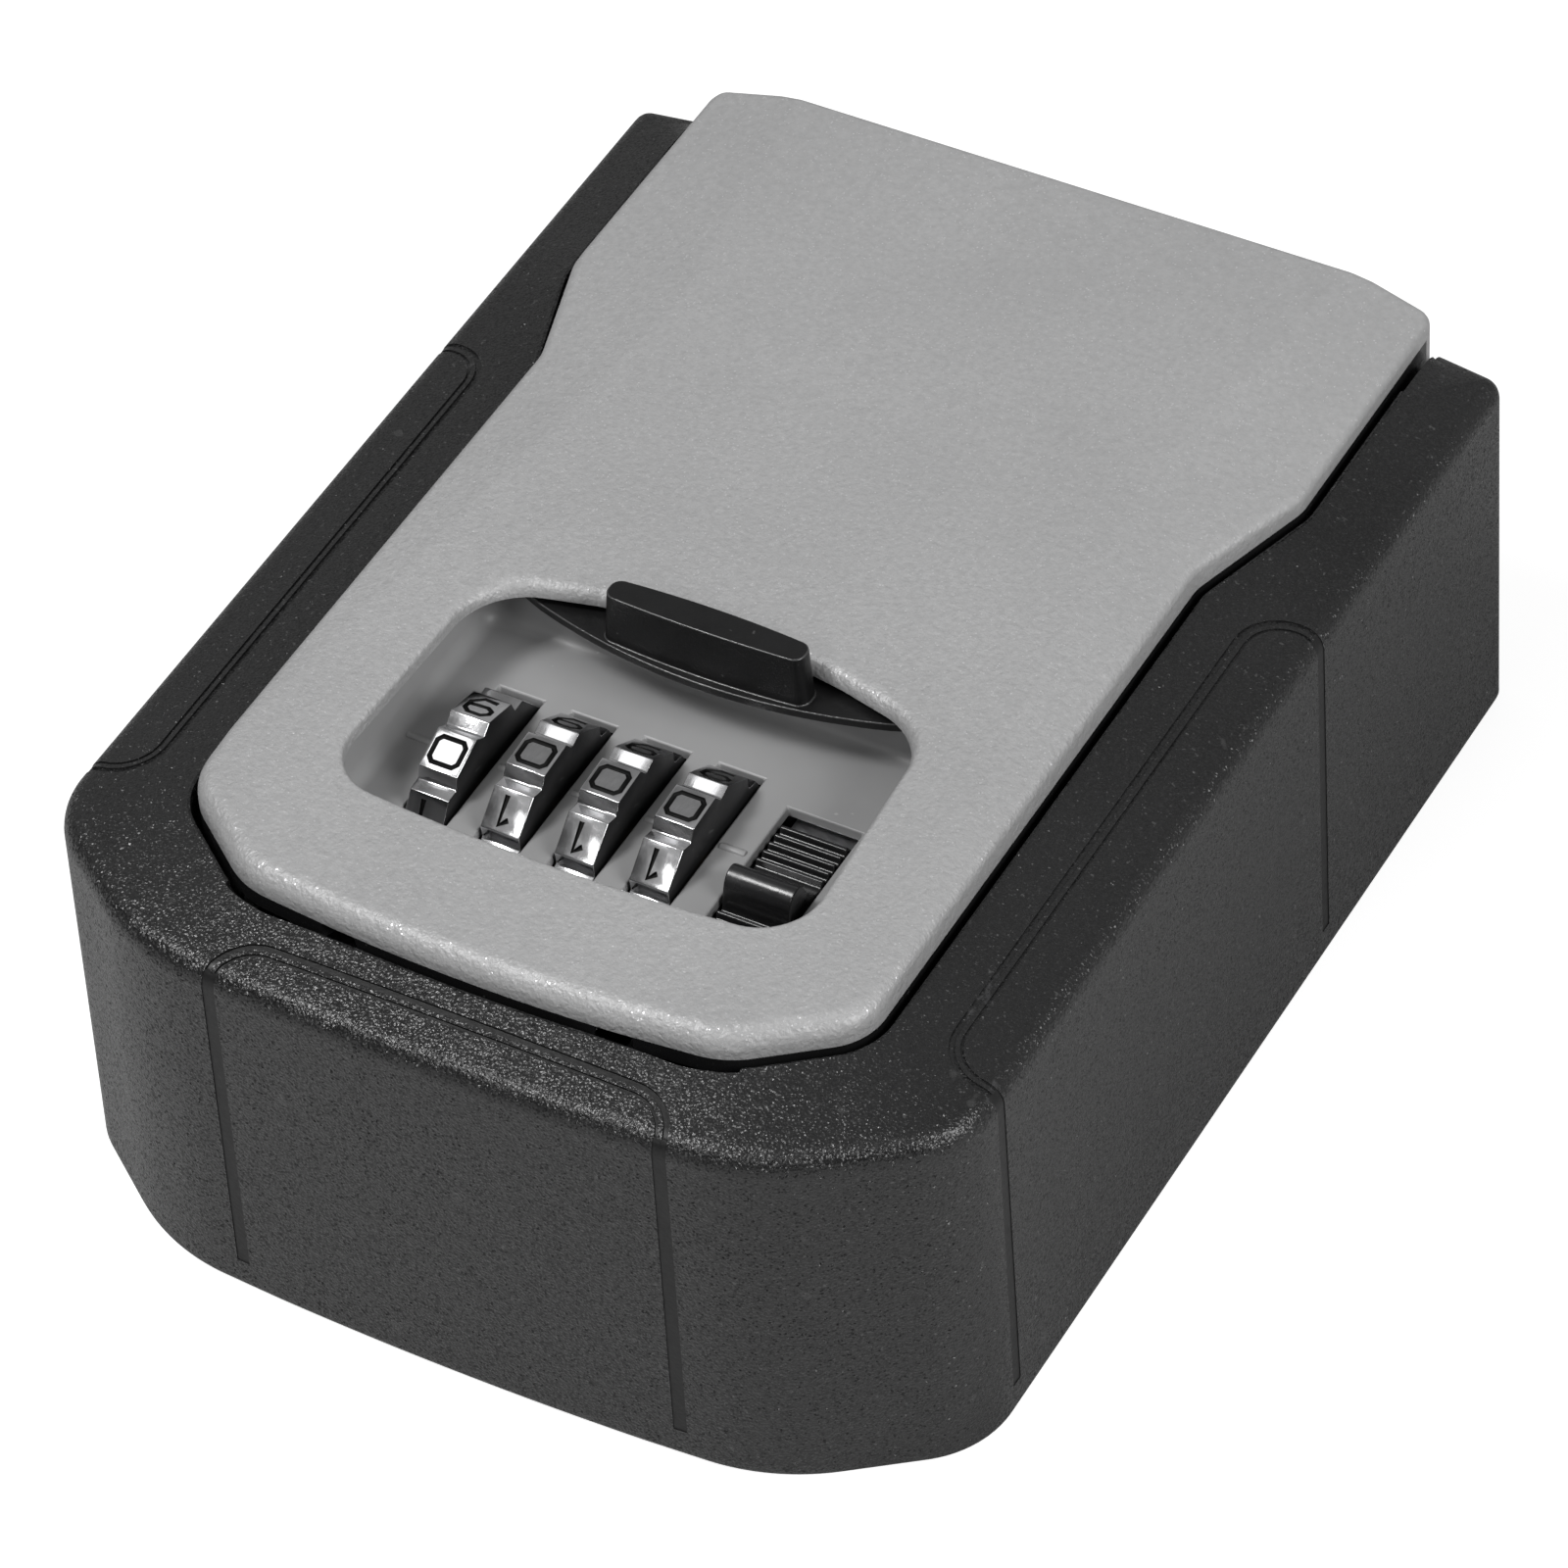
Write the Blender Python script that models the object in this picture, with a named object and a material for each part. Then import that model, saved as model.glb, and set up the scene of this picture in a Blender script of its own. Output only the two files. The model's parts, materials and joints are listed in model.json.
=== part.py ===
"""Wall-mounted four-dial combination key safe, lying on its back.

+Z points out of the wall, +Y toward the upper end, +X to the right seen from the front.
The origin is the centre of the rear face.  Dimensions are in millimetres, scaled at the end.
Boxes given as tables are (x0, x1, y0, y1, z0, z1).
"""
import math

import bmesh
import bpy
import numpy as np
from mathutils import Matrix, Vector

MM = 0.001
SIDES = (1, -1)        # right, left
CLEAR = 0.05           # running clearance round pins and shafts

# ---- housing ----
HALF_L = 60.0          # half length of the body
HALF_W = 45.58         # half width at the rear edge
LOWER_BOW = 1.2        # bow of the lower wall
LOWER_X, LOWER_R = 30.56, 21.0       # lower corner, first vertex and fillet
CORNER_Y, CORNER_R = -47.66, 10.1    # lower corner, second vertex and fillet
TOP_Y, TOP_X, TOP_R = 57.75, 30.77, 2.2   # shallow upper end taper
DRAFT = 0.44
SIDE_H = 39.5          # height of the side wall
RIM_H = 41.0           # height of the rim at the door opening
RIM_T = 1.8
SHELL_T = 2.4
TRAY_OFF = 3.3         # tray wall outside, inset from the body outline
TRAY_T = 1.5
TRAY_H = 35.0
FLOOR_T = 2.2
TRAY_IN_X = HALF_W - TRAY_OFF - TRAY_T
TRAY_IN_Y = HALF_L - TRAY_OFF - TRAY_T
WALL_HOLE_R, WALL_HOLE_X, WALL_HOLE_YS = 2.5, 24.0, (-34.0, 36.0)
SIDE_SCREW_Z, SIDE_SCREW_YS = 16.0, (-28.0, 34.0)

# ---- door ----
DOOR_LOW_X = 33.35     # half width below the waist
DOOR_UP_X = 37.4       # half width above the waist
WAIST_LOW_Y, WAIST_UP_Y = 18.5, 31.5
DOOR_CORNER_X, DOOR_CORNER_Y = 23.6, -50.0   # lower corner, first vertex
DOOR_SIDE_Y = -42.6    # lower corner, second vertex
DOOR_BOTTOM_Y = -51.4  # lower edge at the middle
DOOR_TOP_Y = 59.8
DOOR_GAP = 0.7         # gap between door and rim
OPENING_TOP_Y = 56.3
CREASE_X, CREASE_Y, CREASE_Z = 24.4, 27.0, 44.95
UPPER_FALL = 0.75 / 33.0     # slopes of the front facets away from the creases
LOWER_FALL = 0.0162
UPPER_SIDE_FALL, LOWER_SIDE_FALL = 0.119, 0.1527
LOWER_SIDE_TILT = 0.0028
SKIN = 1.4
SKIRT_Z, SKIRT_T = 36.5, 1.6
BOSSES = ((27.75, 44.0), (-27.75, 44.0), (27.75, -12.0), (-27.75, -12.0))

# ---- hinge ----
HINGE_Y, HINGE_Z = -49.0, 41.2
HINGE = (HINGE_Y, HINGE_Z)
PIN_R, PIN_HALF = 0.8, 19.0
EAR_X, EAR_W, EAR_R, EAR_LEAN = 13.5, 3.0, 1.55, 35.0

# ---- window and dials ----
WIN_TOP_Y, WIN_TOP_X, WIN_TOP_BOW = -7.0, 22.2, 3.6
WIN_LOW_Y, WIN_LOW_X, WIN_LOW_BOW = -38.3, 23.4, 1.3
PLATE_Z, PLATE_T, TUB_WALL = 36.3, 1.2, 0.8
TUB_X, TUB_Y0, TUB_Y1, TUB_TOP, TUB_R = 24.7, -40.0, -6.7, 41.0, 2.5
DIAL_Y, DIAL_Z, DIAL_R, DIAL_W = -23.7, 31.1, 9.75, 3.9
DIAL_AXIS = (DIAL_Y, DIAL_Z)
DIAL_X0, DIAL_PITCH = -16.68, 7.43
DIAL_XS = [DIAL_X0 + DIAL_PITCH * i for i in range(4)]
DIAL_SET = (21.5, 4.8, 4.8, 4.8)   # how far each wheel is turned at rest, degrees
FACE_ANGLE = 12.7      # half angle of a number face
NOTCH_ANGLE, NOTCH_DEPTH = 17.3, 0.75
SHAFT_R, SLEEVE_R, FLANGE_R = 2.0, 3.0, 3.7

# ---- slides, spring and code lever ----
LEVER_X, LEVER_W = 15.1, 6.6
SHUT_Z0, SHUT_Z1, SHUT_X = 41.3, 42.2, 24.4
SHUT_LOW_Y, SHUT_SIDE_Y, SHUT_HIGH_Y = -12.1, -6.5, 24.0
LATCH_Z0, LATCH_Z1 = 32.4, 33.9
SPRING_X, SPRING_Z, SPRING_Y0, SPRING_Y1 = 23.4, 33.5, 20.8, 37.0
SPRING_R, SPRING_WIRE_R, SPRING_TURNS, SPRING_STEPS = 1.25, 0.3, 9, 16
CODE_X, CODE_Y = -18.0, 4.0

# ---- materials ----
BLACK = dict(colour=(0.035, 0.035, 0.037), roughness=0.55, metallic=0.0)
GLOSS = dict(colour=(0.02, 0.02, 0.022), roughness=0.3, metallic=0.0)
PAINT = dict(colour=(0.40, 0.40, 0.40), roughness=0.45, metallic=0.6)
GREY = dict(colour=(0.30, 0.30, 0.30), roughness=0.5, metallic=0.0)
STEEL = dict(colour=(0.55, 0.56, 0.57), roughness=0.35, metallic=1.0)
CHROME = dict(colour=(0.75, 0.76, 0.78), roughness=0.12, metallic=1.0)
BRASS = dict(colour=(0.62, 0.47, 0.22), roughness=0.3, metallic=1.0)

pivots = {}            # object name -> origin, in millimetres


# ---------------------------------------------------------------- objects and booleans
def material(name, colour, roughness, metallic):
    mat = bpy.data.materials.new(name)
    mat.use_nodes = True
    inputs = mat.node_tree.nodes["Principled BSDF"].inputs
    inputs["Base Color"].default_value = (*colour, 1.0)
    inputs["Roughness"].default_value = roughness
    inputs["Metallic"].default_value = metallic
    return mat


def mesh_object(name, bm):
    bmesh.ops.remove_doubles(bm, verts=bm.verts[:], dist=1e-5)
    bmesh.ops.recalc_face_normals(bm, faces=bm.faces[:])
    mesh = bpy.data.meshes.new(name)
    bm.to_mesh(mesh)
    bm.free()
    ob = bpy.data.objects.new(name, mesh)
    bpy.context.scene.collection.objects.link(ob)
    return ob


def piece(name, bm, look, pivot=(0, 0, 0)):
    ob = mesh_object(name, bm)
    ob.data.materials.append(material(name + "_mat", **look))
    pivots[name] = pivot
    return ob


def boolean(ob, bm, operation):
    """Applies the boolean at once and removes the tool."""
    tool = mesh_object("tool", bm)
    mod = ob.modifiers.new("boolean", "BOOLEAN")
    mod.operation = operation
    mod.solver = "EXACT"
    mod.object = tool
    depsgraph = bpy.context.evaluated_depsgraph_get()
    result = bpy.data.meshes.new_from_object(ob.evaluated_get(depsgraph))
    ob.modifiers.clear()
    old = ob.data
    ob.data = result
    bpy.data.meshes.remove(old)
    bpy.data.objects.remove(tool, do_unlink=True)


def cut(ob, bm):
    boolean(ob, bm, "DIFFERENCE")


def fuse(ob, bm):
    boolean(ob, bm, "UNION")


# ---------------------------------------------------------------- solids
def loft(rings, wrap=False):
    """Skins equal-length rings; wrap joins last to first, otherwise both ends are capped."""
    bm = bmesh.new()
    rows = [[bm.verts.new(p) for p in ring] for ring in rings]
    count = len(rings[0])
    pairs = list(zip(rows, rows[1:])) + ([(rows[-1], rows[0])] if wrap else [])
    for a, b in pairs:
        for i in range(count):
            j = (i + 1) % count
            bm.faces.new((a[i], a[j], b[j], b[i]))
    if not wrap:
        bm.faces.new(rows[0][::-1])
        bm.faces.new(rows[-1])
    return bm


def at(outline, z):
    return [(x, y, z) for x, y in outline]


def prism(outline, z0, z1):
    return loft([at(outline, z0), at(outline, z1)])


def box(x0, x1, y0, y1, z0, z1):
    bm = bmesh.new()
    bmesh.ops.create_cube(bm, size=1.0)
    place = Matrix.Translation(((x0 + x1) / 2, (y0 + y1) / 2, (z0 + z1) / 2))
    size = Matrix.Diagonal((x1 - x0, y1 - y0, z1 - z0, 1))
    bmesh.ops.transform(bm, matrix=place @ size, verts=bm.verts[:])
    return bm


def rod(axis, centre, radius, start, end, segments=32):
    """Cylinder along axis 'x', 'y' or 'z'; centre gives the other two coordinates in order."""
    bm = bmesh.new()
    bmesh.ops.create_cone(bm, cap_ends=True, segments=segments, radius1=radius, radius2=radius,
                          depth=end - start)
    mid = (start + end) / 2
    if axis == "z":
        place = Matrix.Translation((*centre, mid))
    elif axis == "x":
        place = Matrix.Translation((mid, *centre)) @ Matrix.Rotation(math.pi / 2, 4, "Y")
    else:
        place = Matrix.Translation((centre[0], mid, centre[1]))
        place = place @ Matrix.Rotation(-math.pi / 2, 4, "X")
    bmesh.ops.transform(bm, matrix=place, verts=bm.verts[:])
    return bm


def tube(path, radius, resolution):
    """Round bar swept along a list of points."""
    curve = bpy.data.curves.new("bar", "CURVE")
    curve.dimensions = "3D"
    curve.bevel_depth = radius
    curve.bevel_resolution = resolution
    curve.use_fill_caps = True
    spline = curve.splines.new("POLY")
    spline.points.add(len(path) - 1)
    for point, co in zip(spline.points, path):
        point.co = (*co, 1.0)
    ob = bpy.data.objects.new("bar", curve)
    bpy.context.scene.collection.objects.link(ob)
    depsgraph = bpy.context.evaluated_depsgraph_get()
    mesh = bpy.data.meshes.new_from_object(ob.evaluated_get(depsgraph))
    bpy.data.objects.remove(ob, do_unlink=True)
    bm = bmesh.new()
    bm.from_mesh(mesh)
    bpy.data.meshes.remove(mesh)
    return bm


def span(side, a, b):
    """The x range from a to b, taken on the given side, in rising order."""
    return sorted((side * a, side * b))


def screw(name, head, shank, *slots):
    ob = piece(name, head, STEEL)
    fuse(ob, shank)
    for slot in slots:
        cut(ob, slot)


# ---------------------------------------------------------------- outlines
def fillet(before, corner, after, radius, steps):
    before, corner, after = (np.array(p, float) for p in (before, corner, after))
    u = (before - corner) / np.linalg.norm(before - corner)
    v = (after - corner) / np.linalg.norm(after - corner)
    half = math.acos(float(np.clip(u @ v, -1, 1))) / 2
    tangent = radius / math.tan(half)
    centre = corner + (u + v) / np.linalg.norm(u + v) * radius / math.sin(half)
    first, last = corner + u * tangent - centre, corner + v * tangent - centre
    sweep = math.acos(float(np.clip(first @ last / radius / radius, -1, 1)))
    out = []
    for i in range(steps + 1):
        k = i / steps
        spoke = math.sin((1 - k) * sweep) * first + math.sin(k * sweep) * last
        p = centre + spoke / math.sin(sweep)
        out.append((float(p[0]), float(p[1])))
    return out


def fillets(path, sizes):
    """Fillets the inner points of an open path; sizes holds (radius, steps) for each."""
    out = []
    for i, (radius, steps) in enumerate(sizes):
        out += fillet(path[i], path[i + 1], path[i + 2], radius, steps)
    return out


def rounded_rectangle(x0, x1, y0, y1, radius, steps):
    path = [(x0, y1), (x0, y0), (x1, y0), (x1, y1), (x0, y1), (x0, y0)]
    return fillets(path, [(radius, steps)] * 4)


def bowed_edge(corner_x, middle_y, corner_y):
    """Parabola from the middle to six tenths of the way to the corner."""
    return [(corner_x * k / 10, middle_y + (corner_y - middle_y) * (k / 10) ** 2)
            for k in range(7)]


def mirror(right):
    """Closes a right half, lower middle to upper middle, whose ends lie on x = 0."""
    return right + [(-x, y) for x, y in right[::-1] if x > 1e-9]


def offset(outline, distance):
    """Moves a counter-clockwise outline inward with mitred corners."""
    p = np.array(outline)
    a = p - np.roll(p, 1, 0)
    b = np.roll(p, -1, 0) - p
    normal_a = np.stack([-a[:, 1], a[:, 0]], 1) / np.linalg.norm(a, axis=1)[:, None]
    normal_b = np.stack([-b[:, 1], b[:, 0]], 1) / np.linalg.norm(b, axis=1)[:, None]
    mitre = normal_a + normal_b
    mitre = mitre / (mitre * mitre).sum(1)[:, None] * 2 * distance
    return [tuple(map(float, q)) for q in p + mitre]


def body_outline():
    lower, side = (LOWER_X, -HALF_L + LOWER_BOW), (HALF_W, CORNER_Y)
    shoulder, top = (HALF_W, TOP_Y), (TOP_X, HALF_L)
    right = bowed_edge(LOWER_X, -HALF_L, -HALF_L + LOWER_BOW)
    right += fillets([right[-1], lower, side, shoulder, top],
                     [(LOWER_R, 8), (CORNER_R, 8), (TOP_R, 4)])
    return mirror(right + [top, (0.0, HALF_L)])


def door_outline(shoulder_y, top_y):
    right = bowed_edge(DOOR_CORNER_X, DOOR_BOTTOM_Y, DOOR_CORNER_Y)
    path = [right[-1], (DOOR_CORNER_X, DOOR_CORNER_Y), (DOOR_LOW_X, DOOR_SIDE_Y),
            (DOOR_LOW_X, WAIST_LOW_Y), (DOOR_UP_X, WAIST_UP_Y), (DOOR_UP_X, 50)]
    right += fillets(path, [(9.0, 5), (6.0, 5), (5.0, 4), (5.0, 4)])
    return mirror(right + [(DOOR_UP_X, shoulder_y), (TOP_X, top_y), (0.0, top_y)])


def window_outline():
    top = [(x, WIN_TOP_Y - WIN_TOP_BOW * (x / WIN_TOP_X) ** 2)
           for x in np.linspace(0, WIN_TOP_X * 0.62, 5)][::-1]
    low = [(x, WIN_LOW_Y + WIN_LOW_BOW * (x / WIN_LOW_X) ** 2)
           for x in np.linspace(0, WIN_LOW_X * 0.68, 5)]
    path = [low[-1], (WIN_LOW_X, WIN_LOW_Y + WIN_LOW_BOW),
            (WIN_TOP_X, WIN_TOP_Y - WIN_TOP_BOW), top[0]]
    right = low[:-1] + fillets(path, [(5.6, 7), (7.0, 7)]) + top[1:]
    return mirror([(float(x), float(y)) for x, y in right])


def polar(outline, angles):
    """The points where rays from the origin at the given angles leave the outline."""
    start = np.array(outline)
    edge = np.roll(start, -1, 0) - start
    out = []
    for angle in angles:
        ray = np.array([math.cos(angle), math.sin(angle)])
        cross = ray[0] * edge[:, 1] - ray[1] * edge[:, 0]
        cross = np.where(np.abs(cross) < 1e-12, 1e-12, cross)
        reach = (start[:, 0] * edge[:, 1] - start[:, 1] * edge[:, 0]) / cross
        along = (start[:, 0] * ray[1] - start[:, 1] * ray[0]) / cross
        hit = (along >= -1e-7) & (along <= 1 + 1e-7) & (reach > 0)
        out.append(tuple(map(float, ray * reach[hit].max())))
    return out


def directions(*outlines):
    """Sorted angles of all outline points, without near repeats."""
    angles = sorted(math.atan2(y, x) for outline in outlines for x, y in outline)
    keep = [angles[0]]
    for angle in angles[1:]:
        if angle - keep[-1] > 0.004:
            keep.append(angle)
    return keep


# the upper corners of the door follow the taper of the body, 0.2 inside it
TAPER_Y = HALF_L - (DOOR_UP_X - TOP_X) * (HALF_L - TOP_Y) / (HALF_W - TOP_X)
DOOR = door_outline(TAPER_Y - 0.2, DOOR_TOP_Y)
OPENING = offset(door_outline(OPENING_TOP_Y, OPENING_TOP_Y), -DOOR_GAP)
BODY = body_outline()
ANGLES = directions(BODY, OPENING)


def around(inset, z):
    """Ring at height z, inset from the body outline."""
    return at(polar(offset(BODY, inset), ANGLES), z)


# ---------------------------------------------------------------- housing parts
# relief for the lower edge of the door as it turns: (x, radius from the hinge axis)
RELIEF = (
    (8.0, 2.9), (14.0, 2.87), (18.0, 2.8), (20.0, 2.77), (21.0, 2.66),
    (22.0, 2.45), (23.0, 2.2), (24.0, 1.9), (25.2, 1.3),
)


def outer_shell():
    opening = polar(OPENING, ANGLES)
    shell = piece("outer_shell", loft([
        around(0, 0.0),
        around(DRAFT, SIDE_H - 1.4),
        around(DRAFT + 0.25, SIDE_H - 0.55),
        around(DRAFT + 1.0, SIDE_H - 0.05),
        at(opening, RIM_H),
        at(opening, RIM_H - RIM_T),
        around(DRAFT + SHELL_T, SIDE_H - 2.0),
        around(SHELL_T, 0.0),
    ], wrap=True), BLACK)
    # the opening runs out through the upper wall
    half = DOOR_UP_X + DOOR_GAP
    cut(shell, box(-half, half, 50.0, 62.0, 36.1, 50.0))
    turn = np.linspace(0, 2 * math.pi, 49)[:-1]
    for side in SIDES:
        rows = [[(side * x, HINGE_Y + r * math.cos(t), HINGE_Z + r * math.sin(t)) for t in turn]
                for x, r in RELIEF]
        cut(shell, loft(rows if side > 0 else rows[::-1]))
    for side in SIDES:
        for y in SIDE_SCREW_YS:
            reach = span(side, HALF_W - SHELL_T - 1.0, HALF_W - 1.0)
            cut(shell, rod("x", (y, SIDE_SCREW_Z), 1.25, *reach, 20))


STRIKE_SCREW_X, STRIKE_SCREW_Z = 11.9, 29.2


def inner_tray():
    inside = TRAY_OFF + TRAY_T
    tray = piece("inner_tray", loft([
        around(TRAY_OFF, 0.0), around(TRAY_OFF, TRAY_H),
        around(inside, TRAY_H), around(inside, FLOOR_T)]), GREY)
    for side in SIDES:
        for y in WALL_HOLE_YS:
            cut(tray, rod("z", (side * WALL_HOLE_X, y), WALL_HOLE_R, -1.0, 4.0))
    for side in SIDES:
        hinge_ear(tray, side)
    for side in SIDES:
        for y in SIDE_SCREW_YS:
            reach = span(side, TRAY_IN_X - 3.0, HALF_W - TRAY_OFF + 0.15)
            cut(tray, rod("x", (y, SIDE_SCREW_Z), 1.5, *reach, 20))
    for side in SIDES:
        cut(tray, rod("y", (side * STRIKE_SCREW_X, STRIKE_SCREW_Z), 1.0,
                      TRAY_IN_Y - 0.5, TRAY_IN_Y + 3.0, 16))


def hinge_ear(tray, side):
    """Foot on the lower tray wall, leaning stem and eye round the hinge pin."""
    x0, x1 = side * EAR_X - EAR_W / 2, side * EAR_X + EAR_W / 2
    fuse(tray, box(x0, x1, -56.0, -43.7, 33.0, 34.7))
    stem = box(x0, x1, -0.9, 0.9, -9.0, 0.0)
    lean = Matrix.Translation((0, *HINGE)) @ Matrix.Rotation(math.radians(EAR_LEAN), 4, "X")
    bmesh.ops.transform(stem, matrix=lean, verts=stem.verts[:])
    fuse(tray, stem)
    fuse(tray, rod("x", HINGE, EAR_R, x0, x1, 24))
    cut(tray, rod("x", HINGE, PIN_R + CLEAR, x0 - 1, x1 + 1, 24))


def hinge_pin():
    piece("hinge_pin", rod("x", HINGE, PIN_R, -PIN_HALF, PIN_HALF, 24), STEEL)


def housing_screws():
    """Slotted screws through the tray side walls into the shell."""
    places = [(side, y) for side in SIDES for y in SIDE_SCREW_YS]
    for i, (side, y) in enumerate(places):
        centre = (y, SIDE_SCREW_Z)
        screw(f"housing_screw_{i + 1}",
              rod("x", centre, 2.6, *span(side, TRAY_IN_X - 1.3, TRAY_IN_X - 0.05), 24),
              rod("x", centre, 1.2, *span(side, TRAY_IN_X - 0.6, HALF_W - 1.2), 20),
              box(*span(side, TRAY_IN_X - 2.0, TRAY_IN_X - 0.9), y - 1.7, y + 1.7,
                  SIDE_SCREW_Z - 0.35, SIDE_SCREW_Z + 0.35))


def strike_plate():
    """Upright plate on the upper tray wall with a notch round the bolt."""
    strike = piece("strike_plate", box(-14.0, 14.0, TRAY_IN_Y - 1.55, TRAY_IN_Y - 0.05,
                                       26.5, 36.5), STEEL)
    cut(strike, box(-9.7, 9.7, 50.0, 60.0, 31.9, 40.0))
    for i, side in enumerate(SIDES):
        x, z = side * STRIKE_SCREW_X, STRIKE_SCREW_Z
        screw(f"strike_screw_{i + 1}",
              rod("y", (x, z), 1.7, TRAY_IN_Y - 2.6, TRAY_IN_Y - 1.6, 20),
              rod("y", (x, z), 0.9, TRAY_IN_Y - 2.0, TRAY_IN_Y + 0.9, 16),
              box(x - 1.1, x + 1.1, TRAY_IN_Y - 3.0, TRAY_IN_Y - 2.2, z - 0.25, z + 0.25))
        cut(strike, rod("y", (x, z), 1.15, 50, 60, 16))


def key_hook():
    """Bent wire standing on a small foot plate on the tray floor."""
    wire_r, bend_r, y, bend_z = 0.9, 4.0, 30.0, 6.0
    hook = piece("key_hook", box(-5.0, 5.0, y - 3, y + 3, FLOOR_T + 0.02, FLOOR_T + 1.2), STEEL)
    path = [(0, y, 2.8), (0, y, bend_z)]
    path += [(0, y + bend_r - bend_r * math.cos(t), bend_z + bend_r * math.sin(t))
             for t in np.linspace(0.15, math.pi * 0.9, 12)]
    fuse(hook, tube(path, wire_r, 2))


# ---------------------------------------------------------------- door parts
def front_planes(drop):
    """Point and outward normal of each facet of the front, lowered by drop."""
    z = CREASE_Z - drop
    planes = [((0, CREASE_Y, z), (0, UPPER_FALL, 1)), ((0, CREASE_Y, z), (0, -LOWER_FALL, 1))]
    for side in SIDES:
        corner = (side * CREASE_X, CREASE_Y, z)
        planes.append((corner, (side * UPPER_SIDE_FALL, 0.0, 1)))
        planes.append((corner, (side * LOWER_SIDE_FALL, LOWER_SIDE_TILT, 1)))
    return planes


def faceted(outline, z0, drop):
    """Prism from z0 up, trimmed by the front facets."""
    bm = prism(outline, z0, 60.0)
    bmesh.ops.recalc_face_normals(bm, faces=bm.faces[:])
    for co, normal in front_planes(drop):
        bmesh.ops.bisect_plane(bm, geom=bm.verts[:] + bm.edges[:] + bm.faces[:], dist=1e-6,
                               plane_co=co, plane_no=normal, clear_outer=True)
        edges = [e for e in bm.edges if e.is_boundary]
        if edges:
            bmesh.ops.edgeloop_fill(bm, edges=edges)
    return bm


def is_front_edge(edge):
    """True for the edges between the front facets and the door sides."""
    a, b = edge.verts
    return (len(edge.link_faces) == 2 and min(a.co.z, b.co.z) > 42.0
            and edge.calc_face_angle() > 0.9 and abs(a.co.z - b.co.z) < 3.0)


def lower_bevel():
    """Wedge along the lower front edge, so that the door can turn down inside the rim."""
    margin = 0.8
    low = np.array(sorted(p for p in DOOR if p[1] < DOOR_SIDE_Y and p[0] >= 0))
    rows = []
    for x in np.linspace(-29.0, 29.0, 30):
        y = float(np.interp(abs(x), low[:, 0], low[:, 1]))
        z = CREASE_Z + LOWER_FALL * (y - CREASE_Y)
        depth = 1.15 * min(1.0, max(0.05, (29.5 - abs(x)) / 6.0))   # fades at both ends
        rows.append([(float(x), y - margin, z - depth - margin),
                     (float(x), y + depth + margin, z + margin),
                     (float(x), y - margin, z + margin)])
    return loft(rows)


HINGE_LUGS = ((7.6, 11.4), (15.6, 19.6), (-11.4, -7.6), (-19.6, -15.6))   # x ranges


def front_cover():
    bm = faceted(DOOR, SKIRT_Z, 0.0)
    bmesh.ops.bevel(bm, geom=[e for e in bm.edges if is_front_edge(e)], offset=1.7, segments=4,
                    profile=0.5, affect="EDGES", clamp_overlap=True)
    cover = piece("front_cover", bm, PAINT, (0, *HINGE))
    cut(cover, lower_bevel())
    cut(cover, faceted(offset(DOOR, SKIRT_T), 30.0, SKIN))
    # gap in the lower skirt, with the hinge lugs in it
    cut(cover, box(-24.5, 24.5, -60.0, -46.4, 30.0, 39.2))
    for x0, x1 in HINGE_LUGS:
        fuse(cover, box(x0, x1, -50.3, -47.2, 39.4, 43.0))
    cut(cover, rod("x", HINGE, PIN_R + CLEAR, -PIN_HALF - 0.3, PIN_HALF + 0.3, 24))
    # room for the tray ears
    half = 1.85
    for side in SIDES:
        x = side * EAR_X
        cut(cover, box(x - half, x + half, -50.85, -43.0, 36.0, 43.05))
        cut(cover, box(x - half, x + half, -52.5, -43.0, 36.0, 41.1))
    for centre in BOSSES:
        fuse(cover, rod("z", centre, 2.0, 31.9, 43.2, 24))
        cut(cover, rod("z", centre, 1.15, 31.0, 41.0, 16))
    cut(cover, prism(window_outline(), 30.0, 60.0))


def dial_plate():
    """Open tub behind the window with slots for dials and lever."""
    inside = rounded_rectangle(-TUB_X, TUB_X, TUB_Y0, TUB_Y1, TUB_R, 5)
    outside = offset(inside, -TUB_WALL)
    plate = piece("dial_plate", loft([
        at(outside, PLATE_Z - PLATE_T), at(outside, TUB_TOP),
        at(inside, TUB_TOP), at(inside, PLATE_Z)]), GREY, (0, *HINGE))
    # raised line across the dials
    fuse(plate, box(-23.9, 22.0, DIAL_Y - 0.35, DIAL_Y + 0.35, PLATE_Z - 0.3, PLATE_Z + 0.25))
    reach = math.sqrt((DIAL_R + 0.35) ** 2 - (PLATE_Z - DIAL_Z) ** 2)
    for x in DIAL_XS:
        cut(plate, box(x - 2.3, x + 2.3, DIAL_Y - reach - 0.25, DIAL_Y + reach + 0.25,
                       30.0, 40.0))
    cut(plate, box(LEVER_X - LEVER_W / 2 - 0.4, LEVER_X + LEVER_W / 2 + 0.4, -36.9, -17.0,
                   30.0, 40.0))


PAN_INSET = SKIRT_T + 0.5
PAN_LOW_Y, PAN_TOP_Y = -41.9, 52.6
PAN_WALL = 1.2
POCKET_X0, POCKET_X1, POCKET_Y0, POCKET_Y1, POCKET_Z0 = -22.7, 10.7, -35.5, -11.9, 18.6
POCKET_T = 1.2


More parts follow.
